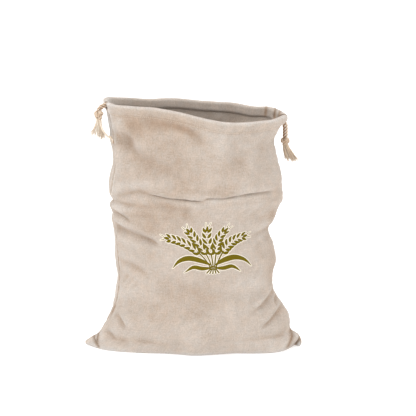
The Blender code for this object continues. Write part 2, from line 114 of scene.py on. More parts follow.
def smooth_line(points: Sequence[Sequence[float]], count: int) -> Array:
    """Lay a smooth curve through a few points.

    Args:
        points: The points that it passes through.
        count: How many evenly spaced points to give back.
    Returns:
        The curve's points.
    """
    points = np.asarray(points, float)
    reach = reach_along(points)
    fine = np.linspace(0, reach[-1], 12 * len(points))
    curve = np.stack([smooth(fine, reach, column) for column in points.T], axis=1)
    reach = reach_along(curve)
    at = np.linspace(0, reach[-1], count)
    return np.stack([np.interp(at, reach, column) for column in curve.T], axis=1)


def ease(share: Array) -> Array:
    """0 to 1 with a soft start and end."""
    share = np.clip(share, 0, 1)
    return share * share * (3 - 2 * share)


def value_noise(across: Array, along: Array, seed: int) -> Array:
    """Smooth random relief with one hill or dip a unit.

    Args:
        across: First coordinate, in units of the noise's cells.
        along: Second coordinate.
        seed: Picks the relief.
    Returns:
        Values from about -1 to 1, in the coordinates' shape.
    """
    rng = np.random.default_rng(seed)
    size = 64
    lattice = rng.uniform(-1, 1, (size, size))
    left, low = np.floor(across).astype(int), np.floor(along).astype(int)
    s, t = across - left, along - low
    s, t = s**3 * (s * (6 * s - 15) + 10), t**3 * (t * (6 * t - 15) + 10)
    a, b = lattice[left % size, low % size], lattice[(left + 1) % size, low % size]
    c, d = lattice[left % size, (low + 1) % size], lattice[(left + 1) % size, (low + 1) % size]
    return (a * (1 - s) + b * s) * (1 - t) + (c * (1 - s) + d * s) * t


# --- the filled shape ---

# Level sections of the filled bag, from the floor up: height, reach to the left and the right, depth to
# the front and the back, how far each side closes to a point, and the degrees by which the left seam
# lies forward of the left extreme.
SECTIONS = np.array((
    (0, 153.4, 152.6, 62.8, 62.6, 1, 1, 0),
    (3.5, 154.4, 154.6, 66.6, 66, 1, 1, 0),
    (7.5, 151.8, 155, 69.2, 68.2, 0.95, 1, 0),
    (12.5, 144.8, 153.4, 71, 69.4, 0.8, 0.95, 0),
    (18, 135.6, 149, 71.7, 70, 0.6, 0.9, 0),
    (21.5, 132.5, 141.6, 71.8, 70, 0.5, 0.75, 0),
    (25, 130.5, 139.2, 71.5, 70, 0.4, 0.55, 1),
    (36, 124.5, 139, 70, 69.5, 0.25, 0.4, 3),
    (50, 118.7, 135.4, 68, 68, 0.15, 0.25, 8),
    (64, 114.5, 125.8, 66.5, 66.5, 0.1, 0.15, 14),
    (80, 111, 115.8, 66, 66, 0.05, 0.08, 15),
    (104, 108.5, 113.4, 66.5, 66.5, 0, 0.05, 15),
    (128, 111, 117.4, 67.5, 67, 0, 0.05, 17),
    (150, 111.5, 114, 68, 66.5, 0, 0.05, 15),
    (172, 112.5, 107.5, 67.5, 65.5, 0, 0.05, 12),
    (184, 115, 114.5, 66.5, 65, 0, 0.05, 8.5),
    (198, 115, 119.5, 65.5, 65, 0, 0.05, 8.5),
    (207, 118, 124, 65, 65, 0, 0.05, 9),
    (213.5, 113.8, 127.5, 65, 65.5, 0, 0.05, 9),
    (220, 117.8, 127.5, 65.5, 66, 0, 0.05, 10),
    (234, 119.2, 126.5, 66, 66, 0, 0.05, 15),
    (250, 117.3, 125.5, 65.5, 65, 0, 0.05, 16),
    (264, 113.6, 122, 64, 63.5, 0, 0.08, 15),
    (282, 113.8, 118, 61.5, 61.5, 0, 0.1, 13),
    (301, 114.8, 115.5, 58.5, 59.5, 0, 0.12, 13),
    (311, 116.5, 120, 57, 58.5, 0, 0.12, 14.5),
    (319.5, 119, 125, 55.5, 57.5, 0, 0.12, 15.5),
    (327.5, 120.3, 132.3, 54.5, 56.5, 0, 0.12, 15),
    (336, 121.3, 133.3, 53.5, 55.5, 0, 0.12, 13.5),
    (346, 123, 133.3, 52.5, 54, 0, 0.12, 11.5),
    (360, 128.5, 133.3, 52, 53, 0, 0.12, 10),
))
# How the front's foot stands: at x, how far it moves out over the floor and how high off the floor
FOOT_LINE = (
    (-150, 0, 0), (-128, 4, 0), (-112, 1, 0), (-95, -3.5, 0), (-78, -6.5, 0),
    (-61, -8.5, 0.3), (-35, -9, 0.5), (-22, -7, 0.3), (-9, -2, 0), (6, -0.5, 0),
    (22, -3, 0), (41, -6.5, 0.3), (58, -8, 0.4), (72, -4.5, 0.2), (86, 0.5, 0),
    (100, 6, 0), (112, 11, 0), (126, 12, 0), (135, 8, 0), (142, 0, 0),
    (156, 0, 0),
)
SEAM_TRIM = 0.03  # how far a panel stops short of its side seams
FOOT_TRIM = 0.06  # how far it does so in the foot
# Height of the rim at shares of the way from the left seam to the right one
RIMS = {
    Side.FRONT: ((0, 355), (0.06, 353.5), (0.14, 353.4), (0.24, 352.6), (0.34, 348.5), (0.44, 343.2),
                 (0.54, 337.6), (0.66, 332.6), (0.78, 332.4), (0.9, 333), (1, 335.6)),
    Side.BACK: ((0, 355), (0.05, 358), (0.14, 355.5), (0.28, 350.5), (0.42, 350), (0.55, 346),
                (0.68, 344.5), (0.8, 340.5), (0.9, 341), (0.96, 338), (1, 335.6)),
}


@dataclass(frozen=True)
class Fold:
    """A crease, trough or ridge of the cloth along a line.

    Attributes:
        line: Points (x, z) that it follows, seen from the front or, on the back panel, through the bag.
        depth: How deep its trough is. Below zero it is a ridge.
        width: The trough's half width.
        lip: Height of the roll of cloth along its upper side.
        sag: How far that roll hangs down over the trough.
        under: Height of the roll along its lower side.
        edge: 0 for a soft trough and 1 for a crease with a sharp bottom.
        fade: Share of its length over which each end dies away.
    """

    STEPS = 90  # points read along its line
    REACH = 4.2  # half widths past which it moves nothing
    CREASE = 1.9  # how steeply the sides of a sharp crease rise
    ROLL_AT = 1.7  # half widths from its line to the crest of the roll beside it
    ROLL_SPREAD = 0.95

    line: tuple[tuple[float, float], ...]
    depth: float
    width: float
    lip: float = 0.0
    sag: float = 0.0
    under: float = 0.0
    edge: float = 0.0
    fade: float = 0.45

    def relief(self, x: Array, z: Array) -> tuple[Array, Array]:
        """How far the fold moves the cloth.

        Args:
            x: The cloth's places across the bag.
            z: Their heights.
        Returns:
            How far out each place moves, and how far down.
        """
        line = smooth_line(self.line, self.STEPS)
        along = np.gradient(line, axis=0)
        along /= np.linalg.norm(along, axis=1, keepdims=True)
        if along[:, 0].sum() < 0:
            line, along = line[::-1], -along[::-1]
        reach = self.REACH * self.width
        near = (
            (x > line[:, 0].min() - reach) & (x < line[:, 0].max() + reach)
            & (z > line[:, 1].min() - reach) & (z < line[:, 1].max() + reach)
        )
        out, down = np.zeros_like(x), np.zeros_like(x)
        places = np.stack([x[near], z[near]], axis=1)
        if not len(places):
            return out, down
        offset = places[:, None, :] - line[None, :, :]
        nearest = np.argmin((offset**2).sum(axis=2), axis=1)
        offset = offset[np.arange(len(places)), nearest]
        tangent = along[nearest]
        ahead = (offset * tangent).sum(axis=1)
        above = tangent[:, 0] * offset[:, 1] - tangent[:, 1] * offset[:, 0]
        beyond = np.where((nearest == 0) | (nearest == len(line) - 1), np.abs(ahead), 0.0)
        share = (nearest + ahead / np.linalg.norm(line[1] - line[0])) / (len(line) - 1)
        taper = ease(np.minimum(share, 1 - share) / self.fade)
        q = above / self.width
        distance = np.hypot(q, beyond / self.width)
        trough = (1 - self.edge) * np.exp(-(distance**2)) + self.edge * np.exp(-self.CREASE * distance)
        roll = np.exp(-(((q - self.ROLL_AT) / self.ROLL_SPREAD) ** 2))
        foot = np.exp(-(((q + self.ROLL_AT) / self.ROLL_SPREAD) ** 2))
        hang = ease((q + 0.4) / 1.3) * np.exp(-((np.maximum(q - 0.9, 0) / 1.7) ** 2))
        out[near] = taper * (self.lip * roll + self.under * foot - self.depth * trough)
        down[near] = taper * self.sag * hang
        return out, down


# Folds in the order of the bag's height, from the mouth down
FRONT_FOLDS = (
    # the left shoulder, and the soft diagonal valley from it to the waist
    Fold(((-114, 320), (-104, 327), (-94, 334)), -2.8, 6),
    Fold(((-119, 311), (-112, 309), (-103, 312)), 3.8, 5, edge=0.1),
    Fold(((-101, 327), (-98, 306), (-88, 289), (-64, 273), (-36, 259), (-12, 246), (2, 238)),
         11, 13, fade=0.24),
    Fold(((-98, 320), (-95, 307), (-87, 294)), 2.6, 7),
    Fold(((-76, 302), (-42, 286), (-2, 262)), 5.6, 20, fade=0.35),
    Fold(((-110, 303), (-106, 283), (-101, 264), (-106, 248)), -6.4, 9, fade=0.3),
    Fold(((-84, 330), (-72, 318), (-56, 305)), -2, 12),
    # the chest
    Fold(((-90, 338), (-58, 333), (-26, 326), (0, 316), (18, 301), (26, 284)), 7.6, 10.5, fade=0.3),
    Fold(((-52, 335), (-22, 328), (8, 316)), 3.4, 8),
    Fold(((-26, 330), (-26, 292), (-12, 252)), 10.5, 25, fade=0.35),
    Fold(((36, 332), (44, 298), (38, 262)), -5.2, 13),
    Fold(((48, 287), (66, 278), (84, 268)), 4.2, 13),
    Fold(((112, 322), (100, 297), (98, 266), (112, 244)), 3, 10),
    Fold(((70, 330), (84, 312), (88, 296)), -2, 10),
    Fold(((26, 250), (62, 259), (98, 253)), -3.8, 15),
    Fold(((-108, 237), (-78, 246), (-38, 245)), -4.6, 10.5),
    # the waist: two creases over which the upper cloth hangs
    Fold(((-114, 216), (-107, 221), (-97, 228), (-84, 233), (-68, 236), (-50, 237)),
         3.5, 6.2, lip=2.2, sag=1, fade=0.32),
    Fold(((-74, 225), (-42, 222), (-8, 217)), 3.6, 9),
    Fold(((-74, 231.6), (-56, 230.6), (-34, 229), (-3, 225.6), (28, 219.5)),
         8.2, 4.6, lip=2.2, sag=5.2, under=0.4, edge=0.4, fade=0.36),
    Fold(((12, 227), (44, 230.4), (70, 232.8), (94, 233), (122, 229)),
         6.8, 4, lip=2.4, sag=4.8, under=0.4, edge=0.35, fade=0.34),
    Fold(((8, 226), (28, 228.2), (46, 229.8), (68, 231.6)), 4.8, 2.8, sag=1.8, edge=0.5, fade=0.4),
    Fold(((-104, 208), (-82, 203), (-54, 194), (-28, 186)), 3.6, 14),
    Fold(((-54, 222), (-34, 214), (-18, 200)), 2.6, 8),
    Fold(((-14, 222), (-11, 208), (-12, 192)), 4.2, 10),
    Fold(((30, 211), (66, 214), (100, 206)), -2.8, 13),
    # the rolls at the left side and the long crease under them
    Fold(((-122, 214), (-108, 211), (-91, 205)), -4.1, 5.8, fade=0.25),
    Fold(((-122, 207), (-112, 202.5), (-98, 195.5), (-90, 190), (-84, 185)),
         2.5, 2.4, lip=1.1, sag=0.6, edge=0.15, fade=0.3),
    Fold(((-122, 196), (-111, 192), (-97, 187), (-84, 181.5), (-78, 178)), -4, 4.8, fade=0.28),
    Fold(((-122, 185), (-110, 179.5), (-84, 171), (-62, 164.5), (-46, 157)),
         6, 7, lip=1.4, fade=0.25),
    Fold(((-80, 171.5), (-63, 166.5), (-52, 161.5), (-42, 154)),
         3.8, 4.6, lip=1.7, sag=1.8, edge=0.2, fade=0.45),
    Fold(((-112, 168), (-88, 160), (-66, 150)), -3.2, 8),
    Fold(((30, 206), (20, 186), (24, 168)), 2, 13),
    Fold(((76, 214), (92, 196), (110, 188)), 2.4, 8),
    # the right hip
    Fold(((122, 180), (100, 174), (78, 168)), 3, 6, lip=1, sag=0.6),
    Fold(((118, 166), (98, 158), (84, 148)), 2.2, 7),
    Fold(((96, 140), (112, 128), (122, 116)), -2.4, 9),
    # the left bulge and the fine pulls over it
    Fold(((-118, 124), (-104, 128.5), (-90, 128), (-74, 121), (-58, 106)), 3.4, 6, under=2),
    Fold(((-108, 108), (-94, 92), (-86, 70)), -5.6, 17),
    Fold(((-88, 118), (-93, 106), (-100, 94)), 1.2, 2.2),
    Fold(((-81, 114), (-87, 101), (-94, 90)), 1.1, 2),
    Fold(((-75, 109), (-80, 99), (-86, 90)), 0.9, 2),
    Fold(((-54, 112), (-40, 96), (-30, 78)), 2.2, 11),
    # the middle, below the print
    Fold(((-44, 112), (-8, 92), (36, 86)), 5.4, 16),
    Fold(((-20, 72), (10, 60), (40, 56)), 3.4, 12),
    Fold(((-66, 64), (-60, 54), (-52, 46)), 2, 8),
    Fold(((52, 112), (78, 107), (106, 96)), -3.6, 12),
    Fold(((44, 74), (62, 66), (80, 50)), -2.6, 13),
    Fold(((-46, 34), (-14, 42), (20, 38)), -2.4, 13),
    # the foot, right
    Fold(((80, 58), (93, 64), (104, 71), (113, 80), (119, 91)),
         4, 4.2, lip=1.8, sag=0.6, edge=0.15, fade=0.4),
    Fold(((121, 79), (118, 70), (118.5, 60)), 4, 2.2, under=1, edge=0.3, fade=0.35),
    Fold(((92, 33), (105, 41), (119, 52), (133, 67)), 4, 4.2, lip=1.8, sag=0.6, edge=0.15, fade=0.4),
    Fold(((102, 56), (112, 61), (122, 70)), -3, 5),
    # the foot, left
    Fold(((-110, 54), (-106, 48), (-101, 40), (-94, 32)), 3.6, 4.2, lip=1.6, edge=0.1, fade=0.4),
    Fold(((-100, 60), (-91, 45), (-80, 32)), -3.2, 8),
    Fold(((-126, 28), (-116, 20), (-108, 10)), 3.8, 3.4, edge=0.3),
    Fold(((-114, 17), (-102, 14), (-88, 17)), 2.4, 6),
    Fold(((-92, 26), (-66, 18), (-34, 16)), 1.6, 6),
    Fold(((-14, 30), (16, 20), (44, 20)), -1.6, 8),
)
BACK_FOLDS = (
    Fold(((-98, 338), (-88, 300), (-54, 274), (-28, 250)), 4.4, 11),
    Fold(((-60, 332), (-40, 312), (-26, 286)), -3, 14),
    Fold(((108, 328), (68, 302), (24, 288), (-18, 262)), 5.2, 10, lip=1.6, sag=0.6),
    Fold(((92, 296), (70, 276), (44, 262)), -2.8, 12),
    Fold(((30, 338), (44, 318), (62, 308)), 2.2, 8),
    Fold(((-112, 318), (-113, 300), (-106, 284)), -2.8, 12),
    Fold(((-120, 208), (-94, 216), (-66, 222), (-22, 224), (24, 216), (62, 203)),
         7, 4.4, lip=4, sag=4.8, under=0.6, edge=0.35, fade=0.3),
    Fold(((36, 226), (60, 229), (86, 231), (112, 226), (126, 218)),
         6, 4, lip=3.6, sag=4.4, under=0.4, edge=0.35, fade=0.3),
    Fold(((-90, 206), (-58, 210), (-26, 208)), -2.8, 10),
    Fold(((-40, 250), (4, 256), (46, 248)), -3.4, 18),
    Fold(((-121, 196), (-104, 194), (-84, 188)), 4.2, 3.2, lip=1.2, sag=1.2, edge=0.4),
    Fold(((-121, 205), (-104, 202), (-88, 197)), -3.6, 4.6),
    Fold(((120, 186), (96, 177), (70, 166), (44, 148), (22, 126)), 5, 6, lip=2, sag=1.4, edge=0.2),
    Fold(((96, 196), (74, 186), (56, 176)), -2.4, 8),
    Fold(((-120, 154), (-96, 143), (-70, 132), (-42, 106)), 4.8, 6, lip=2, sag=1.2, edge=0.2),
    Fold(((-92, 160), (-66, 150), (-44, 134)), -2.2, 9),
    Fold(((-40, 188), (-10, 160), (0, 128)), 1.6, 12),
    Fold(((-40, 180), (0, 120), (30, 70)), -2.6, 34),
    Fold(((40, 100), (62, 84), (90, 80)), 2.2, 8),
    Fold(((-124, 62), (-100, 49), (-76, 28)), 5, 4.6, lip=2.2, sag=0.8, edge=0.3),
    Fold(((-96, 66), (-80, 52), (-64, 34)), -2.4, 8),
    Fold(((126, 74), (100, 59), (78, 36)), 5.2, 4.6, lip=2.2, sag=0.8, edge=0.3),
    Fold(((116, 54), (126, 46), (134, 34)), 3, 3.6, edge=0.3),
    Fold(((-20, 44), (10, 30), (46, 26)), 1.5, 8),
)
FOLDS = {Side.FRONT: FRONT_FOLDS, Side.BACK: BACK_FOLDS}

# Folds right beside the side seams, where the others have died away: on the ears, at the left seam and in
# the hem at the right slit
SEAM_FOLDS = {
    Side.FRONT: (
        Fold(((-143, 17), (-141, 11.5), (-137, 6), (-131, 0.5)), 6.5, 1.9, under=1, edge=0.5, fade=0.2),
        Fold(((-134, 22), (-135, 17), (-136, 11), (-133.5, 5)), 6, 1.7, edge=0.5, fade=0.25),
        Fold(((-129, 24), (-128, 13), (-124, 5)), -4.2, 5, fade=0.3),
        Fold(((139, 27), (139, 16), (136, 7), (131.5, 0)), 5.8, 3.6, edge=0.15, fade=0.2),
        Fold(((130, 28), (130, 14), (125, 3)), -3.2, 5, fade=0.3),
        Fold(((148, 22), (145, 13), (140.5, 4)), -3.4, 2.8, fade=0.3),
        Fold(((153, 14), (151.6, 10.6), (149.4, 7), (147, 3.8), (145.8, 0.5)),
             6.5, 1.7, edge=0.5, fade=0.15),
        Fold(((-106.5, 72), (-109.5, 63), (-113.2, 54), (-117.2, 46), (-122, 38)),
             4.4, 1.7, under=1.6, edge=0.5),
    ),
    Side.BACK: (
        Fold(((-143, 24), (-140, 14), (-132, 1)), 4.6, 3.6, edge=0.2, fade=0.25),
        Fold(((140.5, 28), (139, 14), (134, 1)), 4.6, 3.6, edge=0.2, fade=0.25),
        Fold(((117.5, 350), (116.5, 336), (114.5, 318)), -3.4, 2, fade=0.2),
        Fold(((124, 346), (122.8, 334), (120.5, 320)), -3, 1.8, fade=0.2),
        Fold(((104, 350), (104, 338), (102, 322)), -1.8, 2.2, fade=0.2),
    ),
}

# Painted shade in soft patches, painted highlight where the value is below 0: a place (x, z), the half
# width and height, and how dark it is
PAINTED_SHADE_PATCHES = {
    Side.FRONT: (
        (-52, 330, 40, 17, 0.4), (4, 316, 24, 14, 0.4), (-64, 284, 28, 24, 0.5), (-22, 292, 26, 26, 0.16),
        (-82, 325, 16, 15, 0.8), (-32, 327, 32, 10, 0.75), (114, 236, 12, 22, 0.25),
        (40, 318, 34, 16, -0.3), (-91, 325, 10, 14, 0.5), (-71, 315, 17, 12, 0.65),
        (-98, 206, 14, 7, -0.65), (122, 106, 8, 20, 0.3), (-62, 181, 17, 9, 0.55),
        (-106, 173, 13, 6, 0.5), (-110, 120, 8, 48, 0.4), (-16, 304, 20, 13, 0.42),
        (-30, 66, 34, 20, 0.28), (26, 79, 16, 13, 0.42), (122, 224, 8, 14, 0.45), (114, 193, 8, 14, 0.45),
        (114, 110, 10, 28, 0.7), (-16, 237, 34, 6, 0.4), (-58, 176, 14, 8, 0.3), (-4, 260, 20, 20, 0.5),
        (-34, 236, 42, 10, 0.3), (42, 236, 24, 7, 0.9), (46, 268, 28, 15, 0.4), (-62, 207, 44, 20, 0.75),
        (-22, 196, 26, 20, 0.34), (8, 204, 20, 14, 0.1), (-6, 96, 44, 24, 0.38), (-50, 62, 26, 16, 0.22),
        (88, 232, 20, 16, 0.2), (114, 190, 12, 24, 0.3), (-112, 228, 8, 18, -0.4),
        (-98, 74, 18, 14, -0.2), (78, 96, 26, 17, -0.34), (-62, 262, 30, 16, 0.3),
        (-80, 118, 14, 10, 0.35), (127, 56, 11, 30, 0.5), (113, 138, 9, 44, 0.45),
        (-119.5, 333, 5.5, 25, -1.4), (60, 30, 60, 10, -0.15), (151, 4, 4, 4, -0.8),
        (68, 257, 15, 9, 0.3), (46, 231, 14, 4, 0.35), (-29, 231, 12, 4, 0.3), (-42, 319, 14, 8, 0.28),
        (50, 219, 12, 7, 0.28), (112, 195, 6, 8, 0.4), (-9, 252, 10, 7, 0.25), (95, 144, 14, 10, 0.35),
        (-59, 146, 12, 10, 0.3), (-18, 225, 15, 6, 0.3),
    ),
    Side.BACK: (
        (-30, 300, 44, 26, 0.25), (30, 120, 40, 30, 0.25), (60, 250, 40, 20, 0.2),
        (-119, 330, 6, 30, -1.0),
    ),
}


@dataclass(frozen=True)
class FilledShape:
    """The shape that its filling gives the bag, with the folds of its cloth.

    Attributes:
        angles: Points of a level section's curve.
        seam_calm: Share of a panel's width over which its folds die away to the seam.
        floor_calm: Height over which they die away to the floor.
        gather: Height of the waves that the drawcord leaves round the mouth.
        gather_waves: How many waves there are across a panel.
        gather_reach: How far down from the rim they run out.
        heading: Length to each side of a place over which its direction is read.
    """

    angles: int = 721
    seam_calm: float = 0.05
    floor_calm: float = 7.0
    gather: float = 1.1
    gather_waves: float = 6.0
    gather_reach: float = 45.0
    heading: float = 2.0

    def rim(self, side: Side, share: Array) -> Array:
        """Height of a panel's rim at shares of its width."""
        return smooth(share, *zip(*RIMS[side]))

    def sections(self, side: Side, z: Array) -> Array:
        """Level sections of a panel.

        Args:
            side: The panel.
            z: The heights of the sections.
        Returns:
            For each height the points (x, y) from the left seam to the right one.
        """
        table = SECTIONS.T
        left, right, front, back, pinch_left, pinch_right, turn = (
            smooth(z, table[0], column)[:, None] for column in table[1:]
        )
        start = side.turn * np.radians(turn)
        angle = start + (math.pi - start) * np.linspace(0, 1, self.angles)
        cosine = -np.cos(angle)
        pinch = np.where(cosine < 0, pinch_left, pinch_right)
        close = np.clip(1 - np.abs(cosine) ** (2 + 0.7 * pinch), 0, 1)
        depth = close ** (0.5 + 0.5 * pinch)
        y = np.where((side is Side.FRONT) | (angle < 0), -front * depth, back * depth)
        return np.stack([(right - left) / 2 + (right + left) / 2 * cosine, y], axis=2)

    def wall(self, side: Side, share: Array, z: Array, trim: Array) -> Array:
        """Places on the wall before its folds, and which way is out there.

        Args:
            side: The panel.
            share: How far each place is from the left seam to the right one.
            z: Its height.
            trim: How far the panel stops short of its seams at that height.
        Returns:
            One row for each place: x, y and the two parts of the level direction out.
        """
        levels, level = np.unique(z, return_inverse=True)
        curves = self.sections(side, levels)
        steps = np.linalg.norm(np.diff(curves, axis=1), axis=2)
        reaches = np.concatenate([np.zeros((len(levels), 1)), np.cumsum(steps, axis=1)], axis=1)
        full = reaches[level, -1]
        at = trim + share * (full - 2 * trim)

        def read(place: Array) -> Array:
            """The curves' points at lengths along them.

            Args:
                place: One length for each place.
            Returns:
                Their x and y.
            """
            place = np.clip(place, 0, full)
            found = np.empty((len(place), 2))
            for k in range(len(levels)):
                mine = level == k
                for axis in (0, 1):
                    found[mine, axis] = np.interp(place[mine], reaches[k], curves[k, :, axis])
            return found

        run = read(at + self.heading) - read(at - self.heading)
        outward = np.stack([run[:, 1], -run[:, 0]], axis=1) * side.turn
        outward /= np.linalg.norm(outward, axis=1, keepdims=True)
        return np.concatenate([read(at), outward], axis=1)

    def relief(self, side: Side, x: Array, z: Array) -> tuple[Array, Array]:
        """Move a panel by all its folds.

        Args:
            side: The panel.
            x: Its places across the bag.
            z: Their heights.
        Returns:
            How far out each place moves, and how far down.
        """
        out, down = np.zeros_like(x), np.zeros_like(x)
        for fold in FOLDS[side]:
            more_out, more_down = fold.relief(x, z)
            out += more_out
            down += more_down
        return out, down

    def place(
        self, side: Side, share: Array, z: Array, inset: Array | float = 0.0,
        trim: Array | float = SEAM_TRIM, folds_at: Array | None = None,
    ) -> Array:
        """Points of a panel with its folds.

        Args:
            side: The panel.
            share: How far each point is from the left seam to the right one.
            z: Its height before the folds.
            inset: How far it lies inside the wall's outer side.
            trim: How far the panel stops short of its seams.
            folds_at: The heights whose folds it takes, where that isn't its own, as in the hem.
        Returns:
            The points, one row each.
        """
        alike = np.broadcast_arrays(share, z, inset, trim)
        share, z, inset, trim = (np.asarray(values, float).ravel() for values in alike)
        folds_at = z if folds_at is None else np.broadcast_to(folds_at, z.shape)
        wall = self.wall(side, share, z, trim)
        out, down = self.relief(side, wall[:, 0], folds_at)
        fade = 1 - ease((self.rim(side, share) - folds_at) / self.gather_reach)
        wave = np.sin(2 * math.pi * self.gather_waves * share) * (0.6 + 0.4 * np.sin(9 * share))
        out += self.gather * fade * wave
        calm = ease(share / self.seam_calm) * ease((1 - share) / self.seam_calm)
        out *= calm * ease(z / self.floor_calm)
        level = wall[:, :2] + wall[:, 2:] * (out - inset)[:, None]
        return np.column_stack([level, np.maximum(z - down * calm, 0.0)])


# --- meshes ---

SHARP = math.radians(75)  # edges that bend by more than this aren't shaded smooth


@dataclass
class MeshParts:
    """Points, faces and thread coordinates gathered for one object.

    Attributes:
        points: Arrays of points in millimetres.
        faces: Faces as tuples of point numbers.
        threads: One pair of thread coordinates, in millimetres of cloth or cord, for each corner.
        tones: How much paler or darker each point is.
        count: Points so far.
    """

    points: list[Array] = field(default_factory=list)
    faces: list[tuple[int, ...]] = field(default_factory=list)
    threads: list[Array] = field(default_factory=list)
    tones: list[Array] = field(default_factory=list)
    count: int = 0

    def add(
        self, points: Array, faces: list[tuple[int, ...]], threads: Array, tone: Array | float = 0.0
    ) -> None:
        """Add a closed body.

        Args:
            points: Its points.
            faces: Its faces, counted from its own first point.
            threads: The thread coordinates of its points.
            tone: How much paler or darker its points are.
        """
        first = self.count
        self.faces += [tuple(first + corner for corner in face) for face in faces]
        self.threads.append(threads[[corner for face in faces for corner in face]])
        self.points.append(points)
        self.tones.append(np.broadcast_to(tone, len(points)))
        self.count += len(points)

    def make(self, name: str) -> Object:
        """An object of all that was added, smooth but for its sharp edges.

        Args:
            name: Its name.
        Returns:
            The object.
        """
        mesh = bpy.data.meshes.new(name)
        mesh.from_pydata(np.concatenate(self.points) * MM, [], self.faces)
        layer = mesh.uv_layers.new(name=THREAD_MAP)
        layer.data.foreach_set("uv", (np.concatenate(self.threads) * MM).astype(np.float32).ravel())
        tone = mesh.attributes.new(TONE_MAP, "FLOAT", "POINT")
        tone.data.foreach_set("value", np.concatenate(self.tones).astype(np.float32))
        mesh.shade_smooth()
        mesh.set_sharp_from_angle(angle=SHARP)
        mesh.validate()
        piece = bpy.data.objects.new(name, mesh)
        bpy.context.scene.collection.objects.link(piece)
        return piece


def sweep(
    centres: Array,
    radius: Callable[[Array, Array], Array],
    sides: int,
    tone: Array | float = 0.0,
    hollow: float = 0.0,
) -> tuple[Array, list[tuple[int, ...]], Array, Array]:
    """A closed tube along a line.

    Args:
        centres: The line's points.
        radius: Gives the radius from the length along the line and the angle round it.
        sides: Faces round the tube.
        tone: How much paler or darker it is, at each of the line's points or all over.
        hollow: How much painted shade darkens its deepest grooves.
    Returns:
        Its points, faces, thread coordinates (length along it, and millimetres round it) and tones.
    """
    along = np.gradient(centres, axis=0)
    along /= np.linalg.norm(along, axis=1, keepdims=True)
    across = np.array((0.13, 0.97, 0.21))
    frames = []
    for direction in along:
        across = across - direction * across.dot(direction)
        across /= np.linalg.norm(across)
        frames.append(across)
    across = np.array(frames)
    over = np.cross(along, across)
    reach = reach_along(centres)
    angle = np.linspace(0, 2 * math.pi, sides, endpoint=False)
    size = radius(reach[:, None], angle[None, :]) * np.ones((len(centres), sides))
    spokes = across[:, None] * np.cos(angle)[None, :, None] + over[:, None] * np.sin(angle)[None, :, None]
    points = (centres[:, None] + spokes * size[:, :, None]).reshape(-1, 3)
    faces: list[tuple[int, ...]] = [tuple(range(sides))[::-1]]
    for ring in range(len(centres) - 1):
        for k in range(sides):
            a, b = ring * sides + k, ring * sides + (k + 1) % sides
            faces.append((a, b, b + sides, a + sides))
    last = (len(centres) - 1) * sides
    faces.append(tuple(range(last, last + sides)))
    round_it = np.minimum(angle, 2 * math.pi - angle)[None, :] * size.mean()
    threads = np.stack([reach[:, None] + 0 * round_it, round_it + 0 * reach[:, None]], axis=2)
    # Painted shade in the grooves between the strands.
    depth = (1 - size / size.max()) ** 0.6
    tones = np.reshape(tone, (-1, 1)) - hollow * depth / max(depth.max(), 1e-6)
    return points, faces, threads.reshape(-1, 2), tones.ravel()


# --- shaders ---


class Term:
    """A socket of a shader that takes part in arithmetic."""

    def __init__(self, graph: "Graph", socket: bpy.types.NodeSocket) -> None:
        """Wrap a socket of a graph."""
        self.graph = graph
        self.socket = socket

    def __add__(self, other: "Term | float") -> "Term":
        """This plus other."""
        return self.graph.math("ADD", self, other)

    def __sub__(self, other: "Term | float") -> "Term":
        """This less other."""
        return self.graph.math("SUBTRACT", self, other)

    def __rsub__(self, other: float) -> "Term":
        """Other less this."""
        return self.graph.math("SUBTRACT", other, self)

    def __mul__(self, other: "Term | float") -> "Term":
        """This times other."""
        return self.graph.math("MULTIPLY", self, other)

    def __truediv__(self, other: "Term | float") -> "Term":
        """This by other."""
        return self.graph.math("DIVIDE", self, other)

    def __pow__(self, other: "Term | float") -> "Term":
        """This to a power."""
        return self.graph.math("POWER", self, other)

    __radd__ = __add__
    __rmul__ = __mul__


